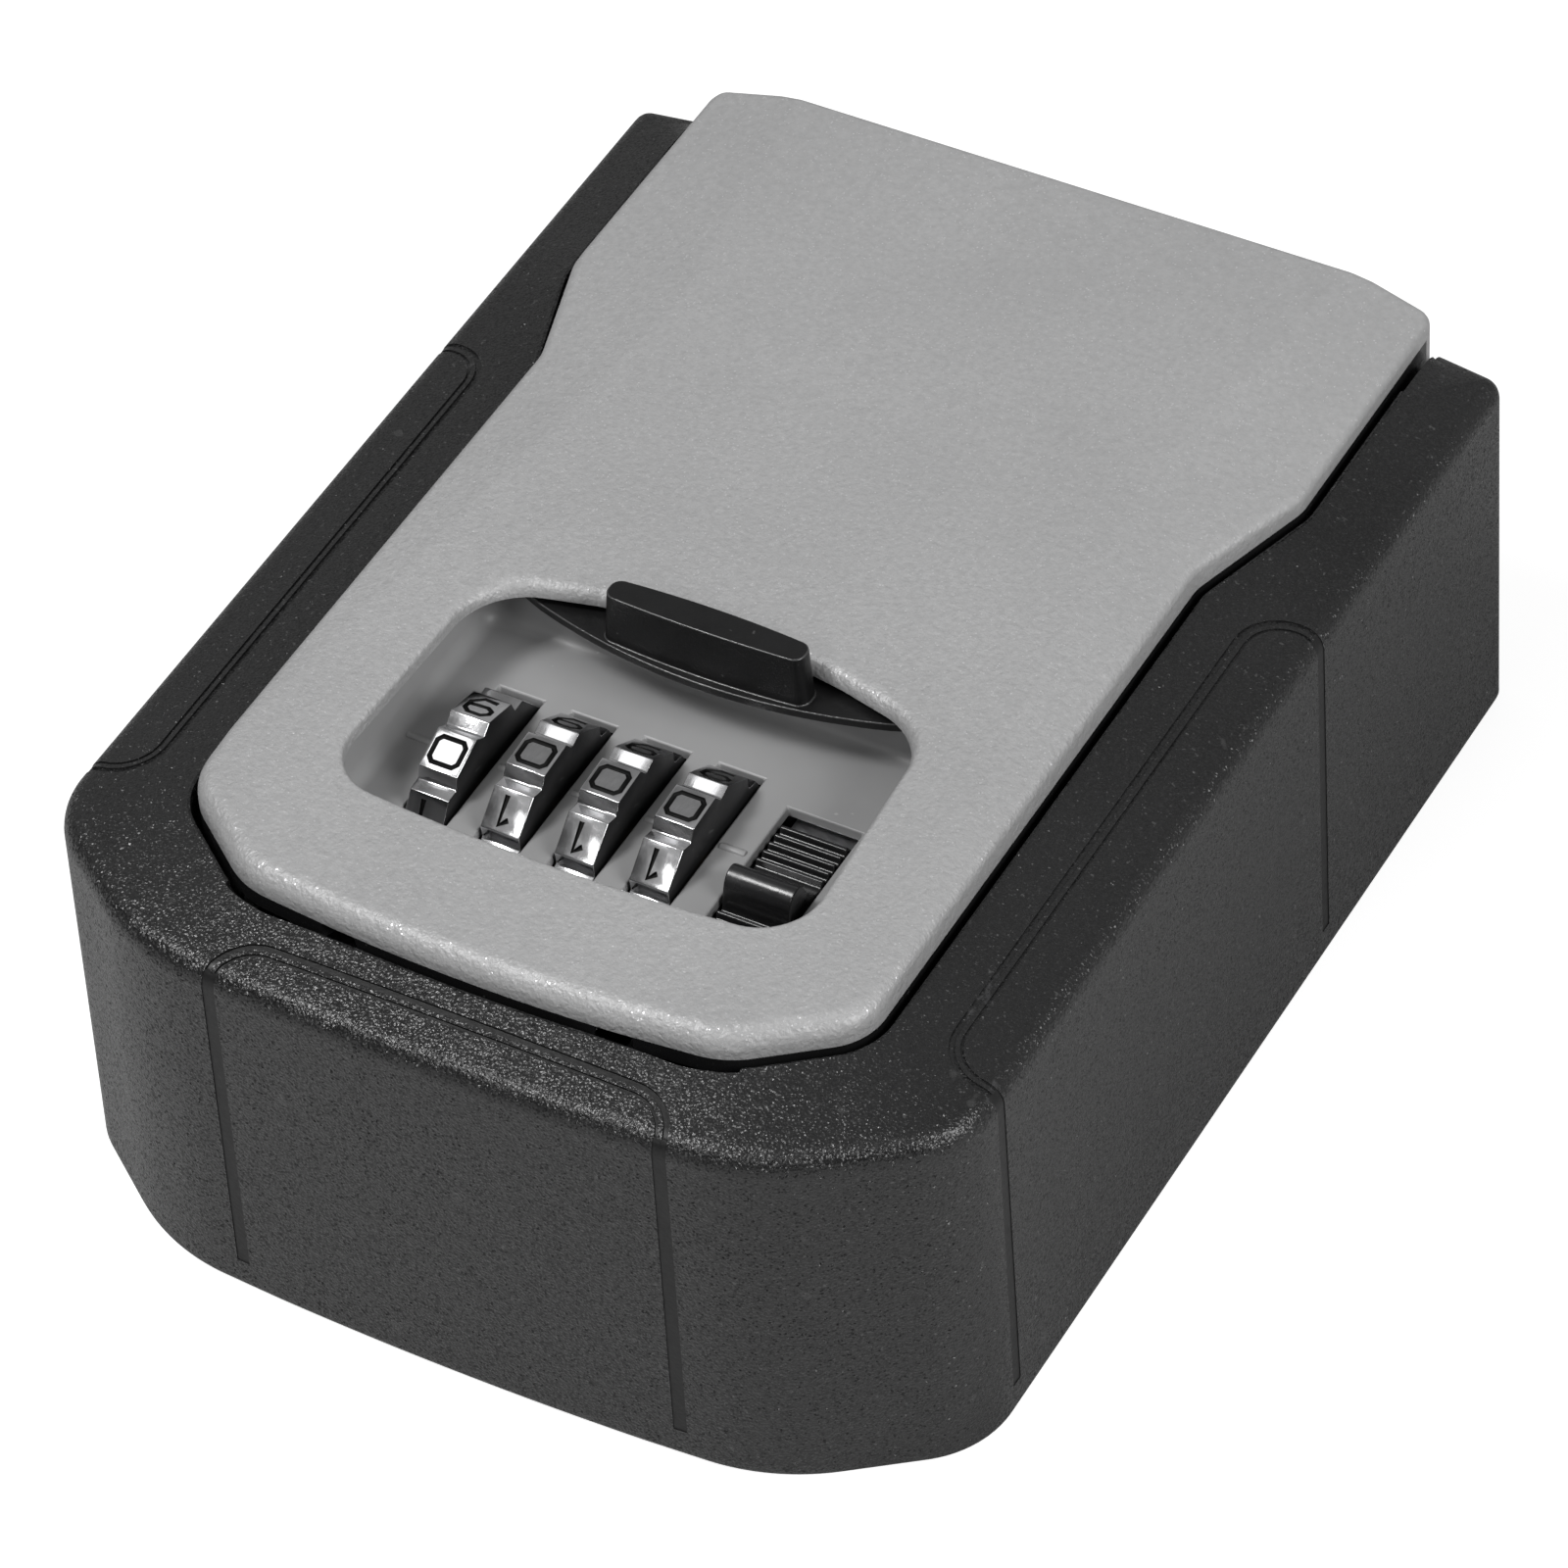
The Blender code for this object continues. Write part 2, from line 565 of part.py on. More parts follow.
def mechanism_cover():
    """Pan closing the back of the door, with a deeper pocket behind the dials."""
    low_x, up_x = DOOR_LOW_X - PAN_INSET, DOOR_UP_X - PAN_INSET
    path = [(0.0, PAN_LOW_Y), (low_x, PAN_LOW_Y), (low_x, WAIST_LOW_Y), (up_x, WAIST_UP_Y),
            (up_x, PAN_TOP_Y)]
    outside = mirror(path[:1] + fillets(path, [(4.0, 5), (5.0, 4), (5.0, 4)])
                     + [path[-1], (0.0, PAN_TOP_Y)])
    inside = offset(outside, PAN_WALL)
    back = piece("mechanism_cover", loft([at(outside, 30.2), at(outside, 34.7),
                                          at(inside, 34.7), at(inside, 31.4)]),
                 GREY, (0, *HINGE))
    fuse(back, box(POCKET_X0, POCKET_X1, POCKET_Y0, POCKET_Y1, POCKET_Z0, 31.0))
    # cheeks carrying the shaft ends
    for x0, x1 in ((POCKET_X0, POCKET_X0 + POCKET_T), (POCKET_X1 - POCKET_T, POCKET_X1)):
        fuse(back, box(x0, x1, -27.6, -19.8, 30.5, 34.3))
    cut(back, box(POCKET_X0 + POCKET_T, POCKET_X1 - POCKET_T, POCKET_Y0 + POCKET_T,
                  POCKET_Y1 - POCKET_T, POCKET_Z0 + POCKET_T, 36.0))
    cut(back, rod("x", DIAL_AXIS, SHAFT_R + CLEAR, -24.0, 12.0, 32))
    # seat for the lower end of the spring
    fuse(back, box(21.0, 26.0, SPRING_Y0 - 2.2, SPRING_Y0 - 0.2, 31.0, 35.6))
    # opening for the bolt in the upper wall
    cut(back, box(-9.6, 9.6, 50.0, 56.0, 32.0, 40.0))
    for centre in BOSSES:
        cut(back, rod("z", centre, 1.5, 29.0, 33.0, 20))
    cut(back, rod("z", (CODE_X, CODE_Y), 1.6, 29.0, 33.0, 24))


def cover_screws():
    """Cross-slotted screws, driven from the rear into the door bosses."""
    for i, (x, y) in enumerate(BOSSES):
        screw(f"cover_screw_{i + 1}",
              rod("z", (x, y), 2.3, 29.0, 30.15, 24),
              rod("z", (x, y), 1.05, 29.6, 40.0, 16),
              box(x - 1.5, x + 1.5, y - 0.3, y + 0.3, 28.0, 29.5),
              box(x - 0.3, x + 0.3, y - 1.5, y + 1.5, 28.0, 29.5))


# ---------------------------------------------------------------- dials
def dial_shaft():
    piece("dial_shaft", rod("x", DIAL_AXIS, SHAFT_R, -22.5, 10.5, 32), STEEL, (0, *HINGE))


def detent_comb():
    """Strip on the pocket floor with one ridged finger under each dial."""
    z0, z1, half = 19.9, 20.3, 1.5
    comb = piece("detent_comb", box(-21.2, 9.2, -34.0, -31.6, z0, z1), BRASS, (0, *HINGE))
    for x in DIAL_XS:
        fuse(comb, box(x - half, x + half, -32.0, -16.0, z0, z1))
        fuse(comb, rod("x", (DIAL_Y, z1), 0.45, x - half, x + half, 12))


def wheel_profile():
    """Ten flat number faces separated by V notches, in the plane across the axle."""
    face = math.radians(FACE_ANGLE)
    corners = ((-face, DIAL_R), (face, DIAL_R),
               (math.radians(NOTCH_ANGLE), DIAL_R - NOTCH_DEPTH))
    out = []
    for k in range(10):
        middle = math.radians(36.0 * k)
        out += [(r * math.cos(middle + t), r * math.sin(middle + t)) for t, r in corners]
    return out


def dial_wheel(number, x, angle):
    bm = loft([[(x + dx, y, z) for y, z in wheel_profile()]
               for dx in (-DIAL_W / 2, DIAL_W / 2)])
    turn = Matrix.Rotation(math.radians(90.0 + angle), 4, "X")
    bmesh.ops.transform(bm, matrix=Matrix.Translation((0, *DIAL_AXIS)) @ turn,
                        verts=bm.verts[:])
    wheel = piece(f"dial_wheel_{number}", bm, CHROME, (x, *DIAL_AXIS))
    cut(wheel, rod("x", DIAL_AXIS, SLEEVE_R + CLEAR, x - 4, x + 4, 32))


def code_sleeve(number, x):
    """Sleeve inside the wheel, with a notched flange on its right."""
    end = x + DIAL_W / 2
    sleeve = piece(f"code_sleeve_{number}",
                   rod("x", DIAL_AXIS, SLEEVE_R, x - DIAL_W / 2, end + 0.4, 32),
                   BRASS, (x, *DIAL_AXIS))
    fuse(sleeve, rod("x", DIAL_AXIS, FLANGE_R, end + 0.3, end + 1.9, 32))
    cut(sleeve, rod("x", DIAL_AXIS, SHAFT_R + CLEAR, x - 4, x + 6, 32))
    cut(sleeve, box(end + 0.35, x + 6, DIAL_Y + 2.8, DIAL_Y + 8, DIAL_Z - 1.4, DIAL_Z + 1.4))


# ---------------------------------------------------------------- slides and levers
def shutter():
    """Thin slide with a bowed lower edge and a raised finger tab."""
    outline = [(float(x), float(SHUT_LOW_Y + 2.6 * (x / 17.0) ** 2))
               for x in np.linspace(-17.5, 17.5, 15)]
    outline += [(SHUT_X, SHUT_SIDE_Y), (SHUT_X, SHUT_HIGH_Y),
                (-SHUT_X, SHUT_HIGH_Y), (-SHUT_X, SHUT_SIDE_Y)]
    slide = piece("shutter", prism(outline, SHUT_Z0, SHUT_Z1), BLACK, (0, SHUT_LOW_Y, SHUT_Z0))
    tab = rounded_rectangle(-9.6, 9.6, -10.7, -8.45, 1.1, 4)
    fuse(slide, prism(tab, SHUT_Z1 - 0.4, 47.0))


# side profile of the thumb ledge: (y, z)
THUMB_LEDGE = [
    (-24.6, 35.6), (-26.2, 37.0), (-26.7, 38.6), (-27.5, 39.1),
    (-28.6, 38.9), (-29.3, 38.0), (-29.6, 35.9),
]
LEVER_PIVOT = (LEVER_X, -25.0, 35.0)


def grip_ribs(first_y, count):
    """Side profile (y, z) of a row of small ribs running down from first_y."""
    out = []
    for k in range(count):
        y = first_y - 1.08 * k
        out += [(y + 0.3, 36.1), (y - 0.15, 36.1), (y - 0.5, 35.5)]
    return out


def release_lever():
    """Ribbed slide with a raised thumb ledge."""
    profile = [(-18.4, 35.5)] + grip_ribs(-18.95, 5) + THUMB_LEDGE + grip_ribs(-30.4, 2)
    profile += [(-32.4, 34.35), (-18.4, 34.35)]
    bm = loft([[(LEVER_X + s * LEVER_W / 2, y, z) for y, z in profile] for s in (-1, 1)])
    piece("release_lever", bm, GLOSS, LEVER_PIVOT)


LATCH_FOOT = (11.8, 18.4, -32.0, -7.0, LATCH_Z0, 34.3)         # under the release lever
LATCH_PARTS = (
    (-19.0, 19.0, -9.65, 49.0, LATCH_Z0, LATCH_Z1),            # main plate
    (-9.0, 9.0, 48.0, 54.4, LATCH_Z0, 34.8),                   # bolt
    (18.0, 25.6, 37.2, 38.8, LATCH_Z0, 34.9),                  # arm above the spring
)
LATCH_WINDOW = (-8.0, 8.0, 2.0, 38.0, 30.0, 36.0)


def latch_plate():
    latch = piece("latch_plate", box(*LATCH_FOOT), STEEL, LEVER_PIVOT)
    for part in LATCH_PARTS:
        fuse(latch, box(*part))
    # one finger in line with each sleeve flange
    for dial_x in DIAL_XS:
        x = dial_x + DIAL_W / 2 + 1.1
        fuse(latch, box(x - 0.7, x + 0.7, -13.0, -9.0, LATCH_Z0, LATCH_Z1))
    cut(latch, box(*LATCH_WINDOW))


def latch_spring():
    count = SPRING_TURNS * SPRING_STEPS
    length = SPRING_Y1 - SPRING_Y0 - 0.9
    path = []
    for k in range(count + 1):
        t = 2 * math.pi * k / SPRING_STEPS
        path.append((SPRING_X + SPRING_R * math.cos(t), SPRING_Y0 + 0.45 + length * k / count,
                     SPRING_Z + SPRING_R * math.sin(t)))
    piece("latch_spring", tube(path, SPRING_WIRE_R, 1), STEEL, (SPRING_X, SPRING_Y0, SPRING_Z))


def code_lever():
    """Code change lever on the rear of the mechanism cover: disc, arm and stub."""
    z0, z1, centre = 28.2, 29.9, (CODE_X, CODE_Y)
    lever = piece("code_lever", rod("z", centre, 3.2, z0, z1, 28), GREY, (*centre, 29.0))
    fuse(lever, box(CODE_X, CODE_X + 12.0, CODE_Y - 1.8, CODE_Y + 1.8, z0, z1))
    fuse(lever, rod("z", centre, 1.5, 29.5, 32.2, 24))


# ---------------------------------------------------------------- origin, scale, shading
def finish(ob, pivot):
    """Cleans the mesh, puts the origin at the pivot, scales to metres and sets shading."""
    pivot = Vector(pivot)
    bm = bmesh.new()
    bm.from_mesh(ob.data)
    bmesh.ops.remove_doubles(bm, verts=bm.verts[:], dist=2e-4)
    bmesh.ops.dissolve_degenerate(bm, edges=bm.edges[:], dist=2e-4)
    bmesh.ops.triangulate(bm, faces=[f for f in bm.faces if len(f.verts) > 4])
    bmesh.ops.transform(bm, matrix=Matrix.Scale(MM, 4) @ Matrix.Translation(-pivot),
                        verts=bm.verts[:])
    bm.to_mesh(ob.data)
    bm.free()
    ob.location = pivot * MM
    ob.data.shade_smooth()
    ob.data.set_sharp_from_angle(angle=math.radians(32))


for old_object in list(bpy.data.objects):
    bpy.data.objects.remove(old_object, do_unlink=True)

for build in (outer_shell, inner_tray, hinge_pin, housing_screws, strike_plate, key_hook,
              front_cover, dial_plate, mechanism_cover, cover_screws, dial_shaft, detent_comb,
              shutter, release_lever, latch_plate, latch_spring, code_lever):
    build()
for i, x in enumerate(DIAL_XS):
    dial_wheel(i + 1, x, DIAL_SET[i])
    code_sleeve(i + 1, x)
for name, pivot in pivots.items():
    finish(bpy.data.objects[name], pivot)
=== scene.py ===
"""Looks of a wall-mounted combination key safe, built round its CAD frame.

The safe lies on its back at z = 0 with the grey front facing +Z. +Y is its top end, and the
door is hinged at the -Y end. Lengths are in mm unless a line says otherwise.
"""
import json
import math

import bmesh
import bpy
import numpy as np
from mathutils import Matrix, Vector


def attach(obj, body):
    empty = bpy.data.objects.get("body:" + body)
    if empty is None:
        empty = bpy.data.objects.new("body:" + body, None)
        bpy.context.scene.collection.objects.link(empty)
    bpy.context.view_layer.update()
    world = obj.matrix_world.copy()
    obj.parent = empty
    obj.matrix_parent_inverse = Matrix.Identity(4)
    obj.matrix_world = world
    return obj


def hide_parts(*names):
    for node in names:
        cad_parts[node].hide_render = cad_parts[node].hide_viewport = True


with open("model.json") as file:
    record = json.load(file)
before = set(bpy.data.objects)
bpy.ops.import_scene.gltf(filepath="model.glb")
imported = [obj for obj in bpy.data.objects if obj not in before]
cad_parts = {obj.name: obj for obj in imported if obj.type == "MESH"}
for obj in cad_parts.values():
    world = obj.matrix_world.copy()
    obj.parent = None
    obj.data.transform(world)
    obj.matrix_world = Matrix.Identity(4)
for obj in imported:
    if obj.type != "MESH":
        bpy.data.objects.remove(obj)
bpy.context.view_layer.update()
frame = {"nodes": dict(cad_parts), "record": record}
MM = 0.001
COLLECTION = bpy.context.scene.collection

# ------------------------------------------------------------------ main dimensions
# housing outline: bowed bottom end, slanted bottom corners, tapered top end
HALF_LENGTH, HALF_WIDTH, END_BOW = 60.0, 45.58, 1.2
KNEE_X, KNEE_R, CORNER_Y, CORNER_R = 30.56, 21.0, -47.66, 10.1
TAPER_X, TAPER_Y, TAPER_R = 30.77, 57.75, 2.2
# housing section: walls lean in by DRAFT over their height
DRAFT, SIDE_H, RIM_H, SHELL_T, SHELL_FILLET = 0.44, 39.5, 41.0, 2.4, 2.1
# door outline: narrow below the waist, wide above it
DOOR_LOW_X, DOOR_UP_X, WAIST_LOW_Y, WAIST_UP_Y = 33.35, 37.4, 18.5, 31.5
DOOR_KNEE_X, DOOR_KNEE_Y, DOOR_CORNER_Y = 23.6, -50.0, -42.6
DOOR_BOTTOM, DOOR_TOP, DOOR_GAP = -51.4, 59.8, 0.7
# front skin and the skirt round its edge
SKIN_T, SKIRT_Z, SKIRT_T = 1.4, 36.5, 1.6
# hinge pin axis, along x
HINGE_Y, HINGE_Z, PIN_R = -49.0, 41.2, 0.8
# window in the front: corner x, middle y and bow of its top and bottom edges
WIN_TOP_X, WIN_TOP, WIN_TOP_BOW = 22.2, -7.0, 3.6
WIN_LOW_X, WIN_LOW, WIN_LOW_BOW = 23.4, -38.3, 1.3
PLATE_Z, PLATE_T = 36.3, 1.2
DIAL_Y, DIAL_Z, DIAL_R, DIAL_WIDTH = -23.7, 31.1, 9.75, 3.9
DIAL_XS = [-16.68 + 7.43 * i for i in range(4)]
LEVER_X, LEVER_WIDTH = 15.1, 6.6


# ------------------------------------------------------------------ shader nodes
class Nodes:
    """Adds nodes to a tree; every value may be a constant or another node's output."""

    def __init__(self, tree):
        self.tree = tree
        self.coords = self.node("ShaderNodeTexCoord").outputs

    def feed(self, socket, value):
        if isinstance(value, bpy.types.NodeSocket):
            self.tree.links.new(value, socket)
        else:
            socket.default_value = value

    def node(self, kind, inputs=None, **settings):
        node = self.tree.nodes.new(kind)
        for key, value in settings.items():
            setattr(node, key, value)
        for key, value in (inputs or {}).items():
            self.feed(node.inputs[key], value)
        return node

    def noise(self, scale, detail=2.0, roughness=0.5, stretch=None):
        where = self.coords["Object"]
        if stretch:
            mapping = self.node("ShaderNodeMapping", {"Vector": where, "Scale": stretch})
            where = mapping.outputs["Vector"]
        inputs = {"Vector": where, "Scale": scale, "Detail": detail, "Roughness": roughness}
        return self.node("ShaderNodeTexNoise", inputs).outputs["Fac"]

    def voronoi(self, scale, output="Distance"):
        inputs = {"Vector": self.coords["Object"], "Scale": scale}
        return self.node("ShaderNodeTexVoronoi", inputs).outputs[output]

    def remap(self, value, span=(0.3, 0.7), out=(0.0, 1.0)):
        """Carries value from span to out, clamped."""
        inputs = {0: value, 1: span[0], 2: span[1], 3: out[0], 4: out[1]}
        return self.node("ShaderNodeMapRange", inputs).outputs[0]

    def math(self, operation, first, second):
        return self.node("ShaderNodeMath", {0: first, 1: second}, operation=operation).outputs[0]

    def vector(self, operation, inputs):
        return self.node("ShaderNodeVectorMath", inputs, operation=operation).outputs[0]

    def split(self, value, kind="XYZ"):
        return self.node(f"ShaderNodeSeparate{kind}", {0: value}).outputs

    def mix(self, factor, low, high):
        """Colour low where factor is 0, high where it is 1."""
        low, high = ((*c, 1.0) if isinstance(c, tuple) else c for c in (low, high))
        return self.node("ShaderNodeMix", {0: factor, 6: low, 7: high}, data_type="RGBA").outputs[2]


MATERIALS = {}


class Material(Nodes):
    def __init__(self, name):
        material = bpy.data.materials.new(name)
        material.use_nodes = True
        MATERIALS[name] = material
        self.surface = material.node_tree.nodes["Principled BSDF"]
        super().__init__(material.node_tree)

    def put(self, name, value):
        self.feed(self.surface.inputs[name], value)

    def mottle(self, scale, detail, low, high, span=(0.3, 0.7)):
        """Two colours in soft patches."""
        return self.mix(self.remap(self.noise(scale, detail), span), low, high)

    def specks(self, scale, span, amount, detail=1):
        """Sparse spots, amount at their middle."""
        return self.remap(self.noise(scale, detail), span, (0.0, amount))

    def edges(self, span):
        """0 away from edges, 1 on convex ones."""
        geometry = self.node("ShaderNodeNewGeometry")
        return self.remap(geometry.outputs["Pointiness"], span)

    def bump(self, height, strength, distance, normal=None):
        inputs = {"Height": height, "Strength": strength, "Distance": distance}
        if normal is not None:
            inputs["Normal"] = normal
        self.put("Normal", self.node("ShaderNodeBump", inputs).outputs["Normal"])


# ------------------------------------------------------------------ materials
def front_paint():
    """Grey paint with fine bright flakes."""
    m = Material("front_paint")
    base = m.mottle(scale=60, detail=3, span=(0.35, 0.65),
                    low=(0.39, 0.39, 0.392), high=(0.415, 0.415, 0.417))
    grain = m.noise(scale=1500, detail=3, roughness=0.65)
    base = m.mix(m.remap(grain, span=(0.32, 0.68), out=(0.0, 0.5)), base, high=(0.29, 0.29, 0.292))
    # a tenth of the cells hold a flake, which fades towards the cell's edge
    pick = m.split(m.voronoi(scale=4200, output="Color"), "Color")[0]
    inside = m.remap(m.voronoi(scale=4200), span=(0.5, 0.2))
    flake = m.math("MULTIPLY", m.remap(pick, span=(0.90, 0.97)), inside)
    m.put("Base Color", m.mix(m.math("MULTIPLY", flake, 0.75), base, high=(0.86, 0.86, 0.87)))
    m.put("Metallic", m.remap(flake, span=(0, 1), out=(0.12, 0.6)))
    m.put("Roughness", m.math("ADD", m.remap(flake, span=(0, 1), out=(0.43, 0.22)),
                              m.remap(grain, out=(-0.04, 0.05))))
    height = m.math("ADD", m.math("MULTIPLY", m.noise(scale=2300, roughness=0.55), 0.8),
                    m.math("MULTIPLY", m.noise(scale=900), 0.6))
    # relief weakens towards the top end (metres)
    strength = m.remap(m.split(m.coords["Object"])["Y"], span=(0.0, 0.05), out=(1.0, 0.35))
    m.bump(height, strength, distance=0.00017)
    m.put("Coat Weight", 0.08)
    m.put("Coat Roughness", 0.35)


def black_shell():
    """Glossy black with a glittering grain, worn edges and dust."""
    m = Material("black_shell")
    big = m.noise(scale=45, detail=4)
    base = m.mix(m.remap(big), low=(0.0085, 0.0085, 0.0087), high=(0.0115, 0.0115, 0.0118))
    fine = m.noise(scale=2600, roughness=0.6)
    base = m.mix(m.remap(fine, span=(0.55, 0.75), out=(0.0, 0.35)), base,
                 high=(0.024, 0.024, 0.0245))
    chips = m.remap(m.noise(scale=900, detail=3, roughness=0.7), span=(0.45, 0.62), out=(0.0, 0.6))
    edge_lightening = m.math("MULTIPLY", m.edges(span=(0.53, 0.60)), chips)
    colour = m.mix(m.math("MULTIPLY", edge_lightening, 0.35), base, high=(0.16, 0.16, 0.165))
    dust = m.math("MAXIMUM", m.specks(scale=420, span=(0.74, 0.78), amount=0.35),
                  m.specks(scale=2100, span=(0.70, 0.76), amount=0.7))
    m.put("Base Color", m.mix(dust, colour, high=(0.07, 0.07, 0.07)))
    m.put("Roughness", m.math("ADD", m.remap(big, out=(0.26, 0.31)),
                              m.remap(fine, out=(-0.05, 0.05))))
    height = m.math("ADD", m.math("MULTIPLY", m.voronoi(scale=3600), 0.8),
                    m.math("MULTIPLY", m.noise(scale=5200, detail=1), 0.5))
    # each cell tips the normal its own way, few of them by much
    cell = m.voronoi(scale=5200, output="Color")
    away = m.vector("SUBTRACT", {0: cell, 1: (0.5, 0.5, 0.5)})
    amount = m.math("POWER", m.split(cell, "Color")[2], 2.2)
    tip = m.vector("SCALE", {0: away, "Scale": m.remap(amount, span=(0, 1), out=(0.16, 0.95))})
    normal = m.node("ShaderNodeNewGeometry").outputs["Normal"]
    normal = m.vector("NORMALIZE", {0: m.vector("ADD", {0: normal, 1: tip})})
    m.bump(height, strength=0.28, distance=0.00026, normal=normal)
    m.put("Specular IOR Level", 0.55)


def plain(name, mottle, roughness_noise, roughness, bump_noise, bump, specks=None):
    """Mottled colour, uneven roughness, fine relief; specks are (noise settings, colour)."""
    m = Material(name)
    colour = m.mottle(**mottle)
    if specks:
        colour = m.mix(m.specks(**specks[0]), colour, specks[1])
    m.put("Base Color", colour)
    m.put("Roughness", m.remap(m.noise(**roughness_noise), out=roughness))
    m.bump(m.noise(**bump_noise), **bump)
    return m


def black_groove():
    m = plain(
        "black_groove",
        mottle=dict(scale=300, detail=3, low=(0.005, 0.005, 0.0051), high=(0.008, 0.008, 0.0081)),
        roughness_noise=dict(scale=1500), roughness=(0.42, 0.5),
        bump_noise=dict(scale=2600), bump=dict(strength=0.3, distance=0.0001))
    m.put("Specular IOR Level", 0.4)


def slide(name, roughness, base, grain, specular, edge_lightening=0.25):
    """Smooth plastic with specks; edge_lightening lightens the convex edges as a painted highlight.
    """
    m = Material(name)
    colour = m.mottle(scale=180, detail=3, low=base, high=tuple(1.5 * c for c in base))
    if edge_lightening:
        # painted highlight: convex edges mixed towards a lighter grey
        painted_edge_highlight = m.math("MULTIPLY", m.edges(span=(0.54, 0.62)), edge_lightening)
        colour = m.mix(painted_edge_highlight, colour, high=(0.10, 0.10, 0.105))
    specks = m.specks(scale=1300, span=(0.77, 0.79), amount=0.5)
    m.put("Base Color", m.mix(specks, colour, high=(0.09, 0.09, 0.09)))
    m.put("Roughness", m.remap(m.noise(scale=600, detail=3),
                               out=(roughness - 0.05, roughness + 0.08)))
    m.bump(m.noise(scale=2400), strength=grain, distance=0.0001)
    m.put("Specular IOR Level", specular)


def dial_plate_grey():
    plain(
        "dial_plate_grey",
        mottle=dict(scale=90, detail=3, low=(0.285, 0.285, 0.287), high=(0.318, 0.318, 0.32)),
        specks=(dict(scale=800, detail=1, span=(0.77, 0.80), amount=0.6), (0.5, 0.5, 0.5)),
        roughness_noise=dict(scale=500, detail=3), roughness=(0.36, 0.44),
        bump_noise=dict(scale=900), bump=dict(strength=0.06, distance=0.0001))


def dial_chrome():
    m = Material("dial_chrome")
    m.put("Metallic", 1.0)
    m.put("Base Color", m.mottle(scale=400, detail=3, low=(0.62, 0.62, 0.63),
                                 high=(0.74, 0.74, 0.75)))
    smears = m.noise(scale=900, detail=4, roughness=0.7)
    m.put("Roughness", m.remap(smears, span=(0.3, 0.75), out=(0.10, 0.22)))
    streaks = m.noise(scale=2200, stretch=(1.0, 0.3, 0.3))
    height = m.math("ADD", m.noise(scale=260), m.math("MULTIPLY", streaks, 0.25))
    m.bump(height, strength=0.10, distance=0.0003)


def digit_fill():
    m = Material("digit_fill")
    m.put("Base Color", m.mix(m.noise(scale=2500), low=(0.002, 0.002, 0.002),
                              high=(0.005, 0.005, 0.005)))
    m.put("Roughness", m.remap(m.noise(scale=1500), out=(0.5, 0.7)))
    m.put("Specular IOR Level", 0.15)


def metal(name, low, high, roughness):
    m = Material(name)
    m.put("Metallic", 1.0)
    grain = m.noise(scale=1100, detail=4, roughness=0.6, stretch=(1.0, 1.0, 1.0))
    m.put("Base Color", m.mottle(scale=120, detail=3, low=low, high=high))
    m.put("Roughness", m.remap(grain, out=(roughness - 0.07, roughness + 0.09)))
    m.bump(grain, strength=0.12, distance=0.0001)


def inner_plastic():
    plain(
        "inner_plastic",
        mottle=dict(scale=70, detail=3, low=(0.022, 0.022, 0.0225), high=(0.032, 0.032, 0.0325)),
        roughness_noise=dict(scale=700, detail=3), roughness=(0.44, 0.56),
        bump_noise=dict(scale=1900), bump=dict(strength=0.25, distance=0.00012))


def tray_paint():
    m = plain(
        "tray_paint",
        mottle=dict(scale=55, detail=4, low=(0.25, 0.25, 0.252), high=(0.29, 0.29, 0.292)),
        specks=(dict(scale=500, detail=2, span=(0.70, 0.74), amount=0.3), (0.2, 0.2, 0.2)),
        roughness_noise=dict(scale=800, detail=3), roughness=(0.42, 0.55),
        bump_noise=dict(scale=1200, detail=3), bump=dict(strength=0.25, distance=0.00014))
    m.put("Metallic", 0.25)


front_paint()
black_shell()
black_groove()
slide("black_slide", roughness=0.22, base=(0.008, 0.008, 0.0083), grain=0.12, specular=0.5)
# lighter copy of the black plastic for rounded edges: a painted highlight
slide("slide_edge_highlight", roughness=0.26, base=(0.03, 0.03, 0.0305), grain=0.5, specular=0.8)
slide("shutter_black", roughness=0.4, base=(0.0055, 0.0055, 0.0057), grain=0.3, specular=0.35,
      edge_lightening=0.0)
dial_plate_grey()
dial_chrome()
digit_fill()
slide("lever_plastic", roughness=0.38, base=(0.13, 0.13, 0.132), grain=0.2, specular=0.45)
slide("wheel_side", roughness=0.35, base=(0.012, 0.012, 0.0125), grain=0.1, specular=0.4)
metal("steel", low=(0.50, 0.51, 0.52), high=(0.60, 0.60, 0.61), roughness=0.34)
metal("brass", low=(0.55, 0.40, 0.17), high=(0.66, 0.50, 0.25), roughness=0.3)
inner_plastic()
tray_paint()


# ------------------------------------------------------------------ outlines, counter-clockwise
def fillet(before, corner, after, radius, steps):
    """Arc of steps + 1 points that rounds a corner."""
    before, corner, after = (np.array(v, float) for v in (before, corner, after))
    u = (before - corner) / np.linalg.norm(before - corner)
    v = (after - corner) / np.linalg.norm(after - corner)
    half = math.acos(float(np.clip(u @ v, -1, 1))) / 2
    reach = radius / math.tan(half)
    centre = corner + (u + v) / np.linalg.norm(u + v) * radius / math.sin(half)
    start, end = corner + u * reach - centre, corner + v * reach - centre
    sweep = math.acos(float(np.clip(start @ end / radius / radius, -1, 1)))
    out = []
    for i in range(steps + 1):
        t = i / steps
        spoke = math.sin((1 - t) * sweep) * start + math.sin(t * sweep) * end
        x, y = centre + spoke / math.sin(sweep)
        out.append((float(x), float(y)))
    return out


def rounded(points, radii, steps):
    out = []
    for i, corner in enumerate(points):
        if radii[i] > 0:
            out += fillet(points[i - 1], corner, points[(i + 1) % len(points)], radii[i], steps)
        else:
            out.append(tuple(map(float, corner)))
    return out


def mirror(right):
    return right + [(-x, y) for x, y in right[::-1] if x > 1e-9]


